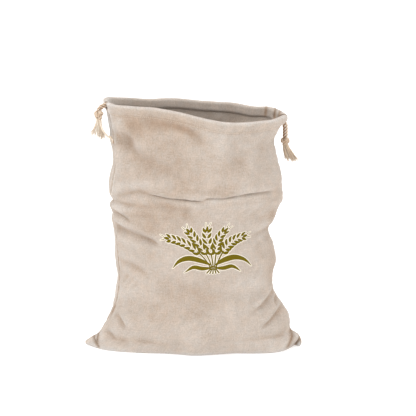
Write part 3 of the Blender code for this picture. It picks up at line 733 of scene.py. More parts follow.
class Graph:
    """A material's node tree, built from expressions."""

    def __init__(self, name: str) -> None:
        """Start an empty material.

        Args:
            name: The material's name.
        """
        self.material = bpy.data.materials.new(name)
        self.material.use_nodes = True
        self.tree = self.material.node_tree
        self.tree.nodes.clear()

    def node(self, kind: str, settings: dict | None = None, inputs: dict | None = None) -> bpy.types.Node:
        """Add a node.

        Args:
            kind: Its type, such as Math or TexNoise.
            settings: Its settings by name, set first. A ramp's stops are under "stops".
            inputs: Values or Terms of its sockets by name or number.
        Returns:
            The node.
        """
        made = self.tree.nodes.new("ShaderNode" + kind)
        for name, value in (settings or {}).items():
            if name == "stops":
                self.set_stops(made.color_ramp, value)
            else:
                setattr(made, name, value)
        for name, value in (inputs or {}).items():
            if isinstance(value, Term):
                self.tree.links.new(value.socket, made.inputs[name])
            else:
                made.inputs[name].default_value = value
        return made

    @staticmethod
    def set_stops(ramp: bpy.types.ColorRamp, stops: Sequence[tuple[float, float]]) -> None:
        """Give a ramp grey stops.

        Args:
            ramp: The ramp.
            stops: The place and the value of each.
        """
        while len(ramp.elements) < len(stops):
            ramp.elements.new(0.5)
        for element, (place, value) in zip(ramp.elements, stops):
            element.position = place
            element.color = (value, value, value, 1.0)

    def term(self, node: bpy.types.Node, output: str | int = 0) -> Term:
        """An output of a node as a Term."""
        return Term(self, node.outputs[output])

    def math(self, operation: str, *values: "Term | float") -> Term:
        """A Math node's result."""
        return self.term(self.node("Math", {"operation": operation}, dict(enumerate(values))))

    def limit(self, value: Term) -> Term:
        """A value kept from 0 to 1."""
        made = self.node("Math", {"operation": "ADD", "use_clamp": True}, {0: value, 1: 0.0})
        return self.term(made)

    def mix(self, factor: "Term | float", first: "Term | tuple", second: "Term | tuple") -> Term:
        """A colour between two.

        Args:
            factor: 0 for the first and 1 for the second.
            first: A colour.
            second: Another.
        Returns:
            The mixed colour.
        """
        colours = [c if isinstance(c, Term) else (*c, 1.0) for c in (first, second)]
        made = self.node("Mix", {"data_type": "RGBA"}, {0: factor, 6: colours[0], 7: colours[1]})
        return self.term(made, 2)

    def shade(self, colour: Term, value: Term, warmth: float = 0.0) -> Term:
        """A colour times a value.

        Args:
            colour: The colour.
            value: What it is multiplied by.
            warmth: How much redder it is where the value is low, as painted shade warmed by light off the
                cloth.
        Returns:
            The shaded colour.
        """
        value = self.math("MAXIMUM", value, 0.05)
        parts = {0: value, 1: value, 2: value}
        if warmth:
            parts = {0: value ** (1 - warmth), 1: value, 2: value ** (1 + warmth)}
        tint = self.term(self.node("CombineXYZ", None, parts))
        multiply = {"data_type": "RGBA", "blend_type": "MULTIPLY"}
        made = self.node("Mix", multiply, {0: 1.0, 6: colour, 7: tint})
        return self.term(made, 2)

    def threads(self) -> tuple[Term, Term]:
        """The two thread coordinates.

        Returns:
            Millimetres across the cloth and up it, or along a cord and round it.
        """
        layer = self.term(self.node("UVMap", {"uv_map": THREAD_MAP}))
        parts = self.node("SeparateXYZ", None, {0: layer})
        return self.term(parts, 0) * (1 / MM), self.term(parts, 1) * (1 / MM)

    def tone(self) -> Term:
        """How much paler or darker the mesh is here: painted light and shade, with some random tone."""
        return self.term(self.node("Attribute", {"attribute_name": TONE_MAP}), "Fac")

    def noise(self, x: Term, y: Term, detail: float = 1.0, seed: float = 0.0) -> Term:
        """Noise of two coordinates, about 0 to 1, with one hill or dip a unit.

        Args:
            x: First coordinate.
            y: Second coordinate.
            detail: How many finer layers it has.
            seed: Picks the noise.
        Returns:
            The noise.
        """
        vector = self.term(self.node("CombineXYZ", None, {0: x, 1: y, 2: seed}))
        sockets = {"Vector": vector, "Scale": 1.0, "Detail": detail, "Roughness": 0.55}
        return self.term(self.node("TexNoise", {"noise_dimensions": "3D"}, sockets))

    def ramp(self, value: Term, low: float, high: float) -> Term:
        """0 where a value is under low, 1 where it is over high, and a straight way between.

        Args:
            value: The value.
            low: Where the way starts.
            high: Where it ends.
        Returns:
            The ramp's value.
        """
        sockets = {0: value, 1: low, 2: high, 3: 0.0, 4: 1.0}
        return self.term(self.node("MapRange", {"clamp": True}, sockets))

    def finish(
        self, colour: Term, roughness: Term, height: Term, distance: float,
        fixed: dict[str, float | tuple],
    ) -> Material:
        """Close the material with a shader.

        Args:
            colour: Its base colour.
            roughness: Its roughness.
            height: The relief of its surface, 0 to 1.
            distance: How far that relief stands, in millimetres.
            fixed: The shader's other sockets that are the same all over, by name.
        Returns:
            The material.
        """
        relief = {"Strength": 1.0, "Distance": distance * MM, "Height": height}
        bump = self.node("Bump", None, relief)
        sockets = {"Base Color": colour, "Roughness": roughness, "Normal": self.term(bump), **fixed}
        shader = self.node("BsdfPrincipled", None, sockets)
        self.node("OutputMaterial", None, {"Surface": self.term(shader)})
        return self.material


@dataclass(frozen=True)
class Weave:
    """The plain weave of the linen.

    Attributes:
        warp: Millimetres from one upright thread to the next.
        weft: Millimetres from one level thread to the next.
        slub: Length of a thick or thin stretch of a thread, in threads.
    """

    warp: float = 0.74
    weft: float = 0.82
    slub: float = 26.0

    def build(self, graph: Graph) -> tuple[Term, Term, Term]:
        """Weave threads in a graph.

        Args:
            graph: The material's graph.
        Returns:
            The relief, the thick and thin stretches of the warp, and those of the weft, all about 0 to 1.
        """
        x, y = graph.threads()
        sway = graph.noise(x * 0.05, y * 0.05, 0.0, 3.0) * 2.4
        a = x * (1 / self.warp) + sway
        b = y * (1 / self.weft) + sway * 0.8
        warp_slub = graph.noise(a * 0.8, b * (1 / self.slub), 2.0, 11.0)
        weft_slub = graph.noise(a * (1 / self.slub), b * 0.8, 2.0, 23.0)
        column, row = graph.math("FLOOR", a), graph.math("FLOOR", b)
        warp = self.thread(graph, graph.math("FRACT", a), warp_slub)
        weft = self.thread(graph, graph.math("FRACT", b), weft_slub)
        over_warp = graph.math("SINE", (b + column) * math.pi) * 0.5 + 0.5
        over_weft = 0.5 - graph.math("SINE", (a + row) * math.pi) * 0.5
        relief = graph.math("MAXIMUM", warp * over_warp, weft * over_weft)
        return relief, warp_slub, weft_slub

    @staticmethod
    def thread(graph: Graph, across: Term, slub: Term) -> Term:
        """The round of a thread across its pitch, wider where the slub is thick.

        Args:
            graph: The material's graph.
            across: Place across the pitch, 0 to 1.
            slub: Its thick and thin stretches.
        Returns:
            Its height, 0 to 1.
        """
        half = slub * 0.42 + 0.24
        offset = (across - 0.5) / half
        return graph.limit(1.0 - offset * offset)


@dataclass(frozen=True)
class LinenFinish:
    """Unbleached linen, with its weave, slubs, flecks and uneven tone, and the light and shade painted
    through its tone attribute.

    Attributes:
        name: The material's name.
        pale: Colour of its palest threads.
        grey: Colour of its pale threads where they are less bleached.
        dark: Colour of its darkest threads.
        fleck: Colour of the husk flecks spun into it.
        weave: How its threads lie.
    """

    name: str = "linen_woven"
    pale: Colour = (0.678, 0.582, 0.508)
    grey: Colour = (0.620, 0.563, 0.514)
    dark: Colour = (0.395, 0.319, 0.255)
    fleck: Colour = (0.30, 0.21, 0.13)
    weave: Weave = Weave()

    def build(self) -> Material:
        """Lay the weave, its uneven tone, its flecks and the painted light and shade.

        Returns:
            The material.
        """
        graph = Graph(self.name)
        relief, warp_slub, weft_slub = self.weave.build(graph)
        x, y = graph.threads()
        cloud = graph.noise(x * 0.022, y * 0.022, 3.0, 5.0)
        blotch = graph.noise(x * 0.065, y * 0.055, 3.0, 9.0)
        heather = graph.noise(x * 0.50, y * 0.44, 2.0, 7.0)
        upright = graph.noise(x * 0.52, y * 0.095, 2.0, 51.0)
        level = graph.noise(x * 0.085, y * 0.52, 2.0, 57.0)
        husk = graph.noise(x * 0.55, y * 0.40, 1.0, 31.0)
        hue = graph.noise(x * 0.10, y * 0.085, 3.0, 61.0)
        threads = warp_slub * 0.35 + weft_slub * 0.3 + upright * 0.4 + level * 0.35
        tone = threads + heather * 1.1 + blotch * 0.5 + cloud * 0.5 - 1.2
        paler = graph.mix(graph.ramp(hue, 0.38, 0.62), self.pale, self.grey)
        colour = graph.mix(graph.limit(tone), self.dark, paler)
        colour = graph.mix(graph.ramp(husk, 0.70, 0.78) * 0.5, colour, self.fleck)
        # Darker in the gaps between the threads as painted shade, then the painted light and shade of the
        # tone attribute, warmed where it is dark.
        colour = graph.shade(graph.shade(colour, relief * 0.22 + 0.80), graph.tone() * 0.26 + 1.0, 0.34)
        fibre = graph.noise(x * 4.2, y * 4.2, 1.0, 17.0)
        height = relief * 0.75 + warp_slub * 0.1 + weft_slub * 0.1 + fibre * 0.12
        roughness = 0.96 - relief * 0.08
        fixed = {"Sheen Weight": 0.25, "Sheen Roughness": 0.6, "Specular IOR Level": 0.25}
        return graph.finish(colour, roughness, height, 0.22, fixed)


@dataclass(frozen=True)
class InkFinish:
    """A water based print on linen: the ink fills the threads and wears thin on the gaps between them.

    Attributes:
        name: The material's name.
        ink: Colour where it covers.
        worn: Colour where it is thin.
        weave: How the threads under it lie.
    """

    name: str
    ink: Colour
    worn: Colour
    weave: Weave = Weave()

    def build(self) -> Material:
        """Let the ink fill the threads.

        Returns:
            The material.
        """
        graph = Graph(self.name)
        relief, warp_slub, weft_slub = self.weave.build(graph)
        x, y = graph.threads()
        patch = graph.noise(x * 0.5, y * 0.5, 2.0, 41.0)
        thin = graph.ramp(patch * 0.6 + (1.0 - relief) * 0.35, 0.46, 0.84) * 0.35
        colour = graph.mix(thin, self.ink, self.worn)
        height = relief * 0.8 + warp_slub * 0.1 + weft_slub * 0.1
        roughness = 0.82 + patch * 0.12
        return graph.finish(colour, roughness, height, 0.18, {"Specular IOR Level": 0.1})


@dataclass(frozen=True)
class YarnFinish:
    """Spun cotton yarn, with its fibres along the thread.

    Attributes:
        name: The material's name.
        pale: Colour of its palest fibres.
        dark: Colour of its darkest fibres.
        slope: How far its fibres lean round the thread for each millimetre along it.
        pitch: Millimetres from one bundle of fibres to the next.
    """

    name: str
    pale: Colour
    dark: Colour
    slope: float = 0.5
    pitch: float = 0.35

    def build(self) -> Material:
        """Lay the fibres along the thread.

        Returns:
            The material.
        """
        graph = Graph(self.name)
        x, y = graph.threads()
        across = (y + x * self.slope) * (1 / self.pitch)
        fibre = graph.noise(across, x * 0.25, 2.0, 2.0)
        patch = graph.noise(x * 0.18, y * 0.18, 2.0, 13.0)
        colour = graph.mix(graph.limit(fibre * 0.9 + patch * 0.5 - 0.2), self.dark, self.pale)
        # The painted light and shade of the tone attribute, warmed where it is dark.
        colour = graph.shade(colour, graph.tone() * 0.5 + 1.0, 0.3)
        roughness = 0.95 - fibre * 0.1
        fixed = {"Sheen Weight": 0.35, "Sheen Roughness": 0.55, "Specular IOR Level": 0.25}
        return graph.finish(colour, roughness, fibre, 0.16, fixed)


@dataclass(frozen=True)
class FloorFinish:
    """Matt white studio board, lit a little from below.

    Attributes:
        name: The material's name.
        white: Its colour.
        grey: The colour of its grains.
        grains: How many of them there are in a metre.
        glow: How strongly light comes through it.
    """

    name: str = "studio_board"
    white: Colour = (0.74, 0.74, 0.74)
    grey: Colour = (0.66, 0.66, 0.66)
    grains: float = 900.0
    glow: float = 0.42

    def build(self) -> Material:
        """Give the board its fine grain and its glow.

        Returns:
            The material.
        """
        graph = Graph(self.name)
        place = graph.term(graph.node("TexCoord"), "Object")
        place = graph.node("SeparateXYZ", None, {0: place})
        grain = graph.noise(graph.term(place, 0) * self.grains, graph.term(place, 1) * self.grains)
        colour = graph.mix(grain * 0.04, self.white, self.grey)
        fixed = {"Emission Color": (1.0, 1.0, 1.0, 1.0), "Emission Strength": self.glow}
        fixed["Specular IOR Level"] = 0.2
        return graph.finish(colour, grain * 0.05 + 0.85, grain, 0.01, fixed)


# --- cloth panels ---


@dataclass
class ClothPanel:
    """One panel of the bag, from the bottom seam over the floor, up the wall and round the hem.

    Attributes:
        side: Which panel it is.
        shape: The shape that it takes.
        columns: Faces across it.
        base_rows: Faces from the bottom seam to the edge of the base.
        foot_rows: Faces from there up to foot_top.
        level_step: Height of a row between foot_top and body_top.
        neck_rows: Faces from body_top to the hem.
        hem_rows: Faces round the hem.
        thickness: Thickness of the cloth.
        width: Width of the flat panel, seam allowances left out.
        seam_roll: How deep the cloth rolls in to the side seams.
        seam_reach: Over what width it does so.
    """

    side: Side
    shape: FilledShape
    columns: int = 190
    base_rows: int = 14
    foot_rows: int = 58
    foot_top: float = 96.0
    level_step: float = 1.6
    body_top: float = 288.0
    neck_rows: int = 16
    hem_rows: int = 34
    thickness: float = 0.9
    width: float = 305.0
    seam_roll: float = 1.3
    seam_reach: float = 3.0
    shares: Array = field(init=False)
    grid: Array = field(init=False)
    normals: Array = field(init=False)
    heights: Array = field(init=False)
    piece: Object = field(init=False)

    # Hem: drop below the rim, inset from the wall's outer side, and trim back from the side slit
    HEM = ((17.0, 0.2, 0.8), (13.0, -0.8, 3.0), (6.0, -1.1, 3.1), (1.5, 0.3, 3.1), (0.0, 3.1, 4.2),
           (1.5, 5.9, 7.0), (7.0, 6.9, 9.0), (12.5, 6.5, 9.0), (15.8, 2.4, 9.0))
    HEM_HEIGHT = 17.0
    LEFT_SLIT = 8.0  # how far down from the rim the left slit is open
    FLAP_INSET = 2.0  # inset past which the hem counts as turned over
    SPOUT_INSET = 1.9  # how much deeper the hem is turned in at the right slit
    SPOUT_FROM = 0.84  # share of the width from which it is
    CROWDING = (1.1, 18.0)  # how much closer columns stand at the seams, and over what width
    LOW = 40.0  # height under which the foot's trim holds
    ROLL_FROM = (24.0, 20.0)  # height at which the roll to the seams starts, and its ease
    ROLL_DROP = 14.0  # how far below the rim it ends, and the tucks of the mouth begin
    SEAM_HALF = 0.12  # half the gap of the bottom seam
    CALM = 14.0  # width beside the seams over which the foot's line dies away
    PUSH_FADE = 32.0  # height over which the foot's push dies away
    LIFT_FADE = 14.0  # and its lift
    EAR_FROM = 141.0  # where an ear's tip begins
    EAR_REACH = 153.0  # and ends
    EAR_LOW = 9.0  # height over which its lift and its dent die away
    EAR_ROOM = 0.8  # half the least gap between the panels there
    EAR_LIFT = 1.4  # how far the left tip is lifted
    EAR_CURL = 6.5  # how far the right tip curls to the front
    EAR_NOTCH = (145.8, 3.2)  # place and half width of the dent in the right ear
    NOTCH_PINCH = 0.4  # how much thinner the ear is there
    NOTCH_LIFT = 0.6  # how far the dent lifts the cloth
    EAR_INWARD = np.array([0.8, 0.0, 0.6])
    # Painted highlight and painted shade in bands beside the seams: distance, half width and tone
    SEAM_BANDS = ((5.0, 1.8, 0.30), (8.6, 1.0, -0.22))

    def build(self) -> Object:
        """Lay out the panel's outer side, give it its fine wrinkles and its thickness.

        Returns:
            The panel.
        """
        fine = np.linspace(0, 1, 2001)
        more, over = self.CROWDING
        closeness = np.cumsum(1 + more * np.exp(-((np.minimum(fine, 1 - fine) * self.width / over) ** 2)))
        closeness = (closeness - closeness[0]) / (closeness[-1] - closeness[0])
        self.shares = np.interp(np.linspace(0, 1, self.columns + 1), closeness, fine)
        parts = (self.foot, self.body, self.neck, self.hem)
        self.grid = np.concatenate([part() for part in parts])
        step = np.linalg.norm(np.diff(self.grid, axis=0), axis=2).mean(axis=1)
        self.heights = np.r_[0, np.cumsum(step)]
        self.normals = self.find_normals()
        self.wrinkle()
        self.normals = self.find_normals()
        self.piece = self.shell()
        return self.piece

    def foot(self) -> Array:
        """The rows from the bottom seam over the floor and up to foot_top."""
        heights = np.r_[np.linspace(0, 12, 25), np.linspace(12.8, self.foot_top, 90)]
        n = len(self.shares)
        spread = np.tile(self.shares, len(heights))
        z = np.repeat(heights, n)
        trim = np.where(z < self.LOW, FOOT_TRIM, SEAM_TRIM)
        inset = self.seam_inset(spread) * ease((z - self.ROLL_FROM[0]) / self.ROLL_FROM[1])
        climb = self.shape.place(self.side, spread, z, inset, trim).reshape(len(heights), n, 3)
        edge = climb[0]
        left, right = SECTIONS[0, 1:3]
        across = -left + self.shares * (left + right)
        seam = np.column_stack([across, np.full(n, -self.SEAM_HALF * self.side.turn), np.zeros(n)])
        seam[[0, -1]] = edge[[0, -1]]
        steps = np.linspace(0, 1, self.base_rows, endpoint=False)[:, None, None]
        base = seam[None] + (edge - seam)[None] * steps
        wall = np.empty((self.foot_rows + 1, n, 3))
        for column in range(n):
            reach = reach_along(climb[:, column])
            at = np.linspace(0, reach[-1], self.foot_rows + 1)
            for axis in range(3):
                wall[:, column, axis] = np.interp(at, reach, climb[:, column, axis])
        return self.shape_ears(self.settle(np.concatenate([base, wall])))

    def settle(self, rows: Array) -> Array:
        """Let the front's foot stand out over the floor in places, and a little off it in others.

        Args:
            rows: The rows from the bottom seam up to foot_top.
        Returns:
            The same rows, moved.
        """
        if self.side is Side.BACK:
            return rows
        places = rows[..., 0].ravel()
        at, out, up = zip(*FOOT_LINE)
        push, lift = (smooth(places, at, column).reshape(rows.shape[:2]) for column in (out, up))
        way = (np.minimum(np.arange(len(rows)) / self.base_rows, 1) ** 3)[:, None]
        way = way * ease(np.minimum(self.shares, 1 - self.shares) * self.width / self.CALM)
        rows[..., 1] -= way * push * np.exp(-((rows[..., 2] / self.PUSH_FADE) ** 2))
        rows[..., 2] += way * lift * np.maximum(1 - rows[..., 2] / self.LIFT_FADE, 0)
        return rows

    def shape_ears(self, rows: Array) -> Array:
        """Fold the cloth beside the seams, lift the left ear's tip and curl the right one forward.

        Args:
            rows: The rows from the bottom seam up to foot_top.
        Returns:
            The same rows with their ears.
        """
        x, y, z = (rows[..., axis].ravel() for axis in range(3))
        room = np.maximum(np.abs(y) - self.EAR_ROOM, 0)
        out = sum(fold.relief(x, z)[0] for fold in SEAM_FOLDS[self.side])
        out = np.maximum(out, -0.85 * room) * ease(z / 3) * ease(room / 2)
        rows[..., 1] += (np.sign(y) * out).reshape(rows.shape[:2])
        low = np.maximum(1 - rows[..., 2] / self.EAR_LOW, 0)
        notch = np.exp(-(((rows[..., 0] - self.EAR_NOTCH[0]) / self.EAR_NOTCH[1]) ** 2)) * low
        rows[..., 1] *= 1 - self.NOTCH_PINCH * notch
        reach = np.maximum(np.abs(rows[..., 0]) - self.EAR_FROM, 0) / (self.EAR_REACH - self.EAR_FROM)
        rows[..., 1] -= np.where(rows[..., 0] > 0, self.EAR_CURL * reach**2, 0)
        lift = np.where(rows[..., 0] < 0, self.EAR_LIFT * reach, 0)
        rows[..., 2] += (lift + self.NOTCH_LIFT * notch) * low
        return rows

    def body(self) -> Array:
        """The level rows between the foot and body_top."""
        z = np.arange(self.foot_top + self.level_step, self.body_top, self.level_step)
        spread = np.tile(self.shares, len(z))
        points = self.shape.place(self.side, spread, z.repeat(len(self.shares)), self.seam_inset(spread))
        return points.reshape(len(z), -1, 3)

    def neck(self) -> Array:
        """The rows between body_top and the hem, which lean to the slope of the mouth."""
        way = np.linspace(0, 1, self.neck_rows, endpoint=False)[:, None]
        rim = self.shape.rim(self.side, self.shares)
        z = self.body_top + way * (rim - self.HEM_HEIGHT - self.body_top)[None]
        spread = np.tile(self.shares, self.neck_rows)
        inset = self.seam_inset(spread)
        return self.shape.place(self.side, spread, z.ravel(), inset).reshape(self.neck_rows, -1, 3)

    def hem(self) -> Array:
        """The rows of the hem, up its outer side, over the rim and down its turned part."""
        profile = np.array(self.HEM)
        reach = reach_along(profile[:, :2])
        at = np.linspace(0, reach[-1], self.hem_rows)
        drop, inset, trim = (smooth(at, reach, column)[:, None] for column in profile.T)
        rim = self.shape.rim(self.side, self.shares)[None]
        inset = inset + self.flare(self.shares)[None] * ease((inset - self.FLAP_INSET + 0.6) / 1.2)
        seam = self.seam_inset(self.shares)[None] * ease((drop - self.ROLL_DROP) / 3.0)
        outside = (self.shares < 0.5)[None] & (at < reach[4])[:, None]
        shut = np.where(outside, ease((drop - self.LEFT_SLIT) / 3.0), 0.0)
        points = self.shape.place(
            self.side,
            np.tile(self.shares, self.hem_rows),
            (rim - drop).ravel(),
            (inset + seam).ravel(),
            (np.maximum(trim, 0.1) * (1 - 0.97 * shut)).ravel(),
            np.repeat(rim - self.HEM_HEIGHT, self.hem_rows, axis=0).ravel(),
        )
        tucks = sum(fold.relief(points[:, 0], points[:, 2])[0] for fold in SEAM_FOLDS[self.side])
        tucks *= np.repeat(ease((self.ROLL_DROP - drop) / 4.0), len(self.shares))
        points[:, 1] -= self.side.turn * tucks
        return points.reshape(self.hem_rows, -1, 3)

    @classmethod
    def flare(cls, share: Array) -> Array:
        """How much deeper the hem is turned in towards the right slit."""
        return cls.SPOUT_INSET * ease((share - cls.SPOUT_FROM) / (1 - cls.SPOUT_FROM))

    def seam_inset(self, share: Array) -> Array:
        """How far the cloth rolls in beside the side seams."""
        away = np.minimum(share, 1 - share) * self.width / self.seam_reach
        return self.seam_roll * (1 - ease(away)) ** 1.4

    def find_normals(self) -> Array:
        """The direction out of the cloth at each point of its outer side."""
        across, up = np.gradient(self.grid, axis=1), np.gradient(self.grid, axis=0)
        normals = np.cross(across, up) * self.side.turn
        length = np.linalg.norm(normals, axis=2, keepdims=True)
        return normals / np.maximum(length, 1e-9)

    def wrinkle(self) -> None:
        """Move the outer side by its wrinkles, and pucker it at its seams and hem stitching."""
        u = (self.shares * self.width)[None, :] + 0 * self.heights[:, None]
        v = self.heights[:, None] + 0 * u
        seed = 100 if self.side is Side.FRONT else 200
        swell = 1.0 * value_noise(u / 46, v / 52, seed) + 0.42 * value_noise(u / 19, v / 15, seed + 1)
        turned = u * 0.8 + v * 0.6, v * 0.8 - u * 0.6
        crease = 0.5 - np.abs(value_noise(turned[0] / 27, turned[1] / 13, seed + 2))
        crumple = 0.5 - np.abs(value_noise(turned[1] / 16, turned[0] / 30, seed + 3))
        fine = value_noise(u / 5.5, v / 6.5, seed + 4)
        relief = swell + 0.55 * crease + 0.4 * crumple + 0.09 * fine
        edge = np.minimum(u, self.width - u)
        wander = 2.2 * value_noise(u * 0 + 3, v / 30, seed + 5)
        pucker = np.sin(v / 2.1 + wander) * np.exp(-((edge / 7) ** 2))
        relief = relief * ease(edge / 9) + 0.35 * pucker * ease(edge / 1.6)
        hem = self.heights[-self.hem_rows]
        below = hem + 2.0 - v
        ripple = np.sin(u / 1.35 + 2.6 * value_noise(u / 40, v * 0 + 7, seed + 6))
        ripple = 0.16 * ripple * np.exp(-((below / 5) ** 2)) * ease(edge / 9)
        relief = relief * ease((below + 6) / 30) + ripple
        relief -= 0.5 * np.exp(-(((v - hem - 2.4) / 1.6) ** 2)) * ease(edge / 9)
        relief *= ease((self.grid[..., 2] - 2) / 14)
        self.grid = self.grid + self.normals * relief[..., None]

    def tone(self) -> Array:
        """The light and shade painted on each point of the cloth: paler above 0, darker below it.

        Returns:
            The outer side's tones, and then the inner side's.
        """
        level = self.grid
        for _ in range(3):
            level = np.pad(level, ((2, 2), (2, 2), (0, 0)), mode="edge")
            level = sum(level[i : i + self.grid.shape[0], j : j + self.grid.shape[1]]
                        for i in range(5) for j in range(5)) / 25
        hollow = ((level - self.grid) * self.normals).sum(axis=2) + 0.15
        u = (self.shares * self.width)[None, :]
        edge = np.minimum(u, self.width - u)
        hem = self.heights[-self.hem_rows]
        above = (self.heights - hem)[:, None]
        rim = self.HEM_HEIGHT
        rim_reach = rim + 3.0
        x, z = self.grid[..., 0].ravel(), self.grid[..., 2].ravel()
        deep = np.zeros(self.grid.shape[:2])
        inside = self.heights > hem + rim_reach
        for fold in SEAM_FOLDS[self.side]:
            out = fold.relief(x, z)[0].reshape(deep.shape) / abs(fold.depth)
            deep = np.maximum(deep, np.where(inside[:, None], out, -out))
        # Painted shade in the troughs of the folds beside the seams and in the tucks of the mouth, and
        # painted light and shade by how far the cloth stands out or lies deep.
        tone = self.hollow_shade_and_wear(hollow) - 1.2 * np.clip(deep * 1.3 - 0.1, 0, 1)
        # Painted shade along the groove of each side seam.
        groove = 0.65 + 0.7 * ease((210 - self.grid[..., 2]) / 30)
        tone = tone - groove * np.exp(-((edge / 1.4) ** 2)) * (above < rim + 8)
        # Painted highlight and painted shade in bands beside the seams.
        for away, half, paler in self.SEAM_BANDS:
            tone = tone + paler * np.exp(-(((edge - away) / half) ** 2))
        # Soft patches of painted shade, and of painted highlight where dark is below 0.
        for at_x, at_z, wide, high, dark in PAINTED_SHADE_PATCHES[self.side]:
            far = ((self.grid[..., 0] - at_x) / wide) ** 2 + ((self.grid[..., 2] - at_z) / high) ** 2
            tone = tone - dark * np.exp(-far)
        # Painted light along the bottom of the foot, against its shade near the floor.
        tone = tone + 0.5 * np.clip(1 - self.grid[..., 2] / 6, 0, 1)
        tone = tone - 0.28 * ease((above - 1.5) / 2.0) * ease((rim - 1.5 - above) / 4.0)
        # Painted shade in the groove of the hem's stitching.
        tone = tone - 0.22 * np.exp(-(((above - 2.4) / 1.5) ** 2))
        # Painted highlight along the rim, standing also for a worn edge; the inner side gets painted
        # shade all over and in its hollows.
        outer = tone + 0.5 * np.exp(-(((above - rim - 0.5) / 1.6) ** 2))
        return np.concatenate([outer.ravel(), self.hollow_shade_and_wear(-hollow).ravel() - 0.15])

    @staticmethod
    def hollow_shade_and_wear(hollow: Array) -> Array:
        """Painted highlight where the cloth stands out and painted shade where it lies deep, standing
        also for the cloth being worn there; hollow in millimetres.
        """
        return 0.30 * np.clip(-hollow / 1.2, 0, 1) - 0.75 * np.clip(hollow / 1.5, 0, 1)

    def inner_side(self) -> Array:
        """The points of the inner side, one thickness in."""
        inward = -self.normals
        below_hem = len(self.grid) - self.hem_rows + 1
        for column in (0, -1):
            to_middle = -self.grid[:below_hem, column] * np.array([1.0, 1.0, 0.0])
            inward[:below_hem, column] = to_middle / np.linalg.norm(to_middle, axis=1, keepdims=True)
        inward[: self.base_rows, 1:-1] = (0.0, 0.0, 1.0)
        inward[: self.base_rows + 1, 0] = self.EAR_INWARD
        inward[: self.base_rows + 1, -1] = self.EAR_INWARD * (-1.0, 1.0, 1.0)
        return self.grid + self.thickness * inward

    def shell(self) -> Object:
        """The panel as a closed sheet with thread coordinates."""
        high, wide = self.grid.shape[:2]
        number = np.arange(high * wide).reshape(high, wide)
        number[: self.base_rows, 0] = number[self.base_rows, 0]
        number[: self.base_rows, -1] = number[self.base_rows, -1]
        a, b = number[:-1, :-1].ravel(), number[:-1, 1:].ravel()
        c, d = number[1:, 1:].ravel(), number[1:, :-1].ravel()
        quads = np.stack([a, b, c, d], axis=1)
        below = high * wide
        first, last = number[self.base_rows :, 0], number[self.base_rows :, -1]
        border = np.r_[number[0, :-1], last[:-1], number[-1, :0:-1], first[:0:-1]]
        after = np.roll(border, -1)
        rim = np.stack([after, border, below + border, below + after], axis=1)
        quads = np.concatenate([quads, below + quads[:, ::-1], rim])
        if self.side is Side.BACK:
            quads = quads[:, ::-1]
        faces = [tuple(dict.fromkeys(face)) for face in quads.tolist()]
        faces = [face for face in faces if len(face) > 2]
        used = np.unique([corner for face in faces for corner in face])
        renumber = np.zeros(2 * below, int)
        renumber[used] = np.arange(len(used))
        points = np.concatenate([self.grid.reshape(-1, 3), self.inner_side().reshape(-1, 3)])
        u = np.tile(self.shares * self.width, high)
        threads = np.tile(np.column_stack([u, np.repeat(self.heights, wide)]), (2, 1))
        faces = [tuple(int(renumber[corner]) for corner in face) for face in faces]
        parts = MeshParts()
        parts.add(points[used], faces, threads[used], self.tone()[used])
        return parts.make(f"panel_{self.side.value}")

    def spot(self, u: Array, v: Array, lift: Array | float = 0.0) -> Array:
        """Points on the outer side at thread coordinates.

        Args:
            u: Millimetres of cloth from the left seam.
            v: Millimetres of cloth from the bottom seam.
            lift: How far the points stand off the cloth.
        Returns:
            The points, one row each.
        """
        return self.read(self.grid, u, v) + np.reshape(lift, (-1, 1)) * self.read(self.normals, u, v)

    def read(self, table: Array, u: Array, v: Array) -> Array:
        """A table of the grid's points, read between them at thread coordinates.

        Args:
            table: A value or vector for each point.
            u: Millimetres of cloth from the left seam.
            v: Millimetres of cloth from the bottom seam.
        Returns:
            What the table holds there.
        """
        column = np.interp(u / self.width, self.shares, np.arange(self.columns + 1))
        column = np.clip(column, 0, self.columns - 1e-6)
        row = np.interp(v, self.heights, np.arange(len(self.heights)))
        row = np.clip(row, 0, len(self.heights) - 1 - 1e-6)
        j, i = column.astype(int), row.astype(int)
        s, t = (column - j)[:, None], (row - i)[:, None]
        low = table[i, j] * (1 - s) + table[i, j + 1] * s
        high = table[i + 1, j] * (1 - s) + table[i + 1, j + 1] * s
        return low * (1 - t) + high * t

    def dress(self, finish: Material) -> None:
        """Give the panel its material and its place on the bag.

        Args:
            finish: Its material.
        """
        self.piece.data.materials.append(finish)
        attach(self.piece, "root")
        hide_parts(f"cloth_{self.side.value}")


# --- drawcords ---

# Routes of the cords' free ends, from the slit to the knot
CORD_ENDS = {
    Hand.LEFT: (
        ((-120.2, -9.6, 352.6), (-123.6, -11.2, 352.4), (-127.8, -13.4, 350.8), (-131.6, -15.3, 348),
         (-134, -16.2, 343.4)),
        ((-119.9, -7.2, 350.4), (-122.2, -9.8, 349.6), (-125.6, -12.4, 348.2), (-128.8, -14, 346.4),
         (-130.5, -14.5, 343.2)),
    ),
    Hand.RIGHT: (
        ((128.9, 0.8, 325.4), (131.6, 0.1, 321.9), (132.4, -0.3, 316), (132.4, -0.5, 309),
         (132.2, -0.6, 301.8)),
        ((126.5, -2, 324.2), (128.2, -0.5, 320.4), (128.8, -0.6, 315), (128.8, -0.6, 309),
         (128.6, -0.6, 301.8)),
    ),
}


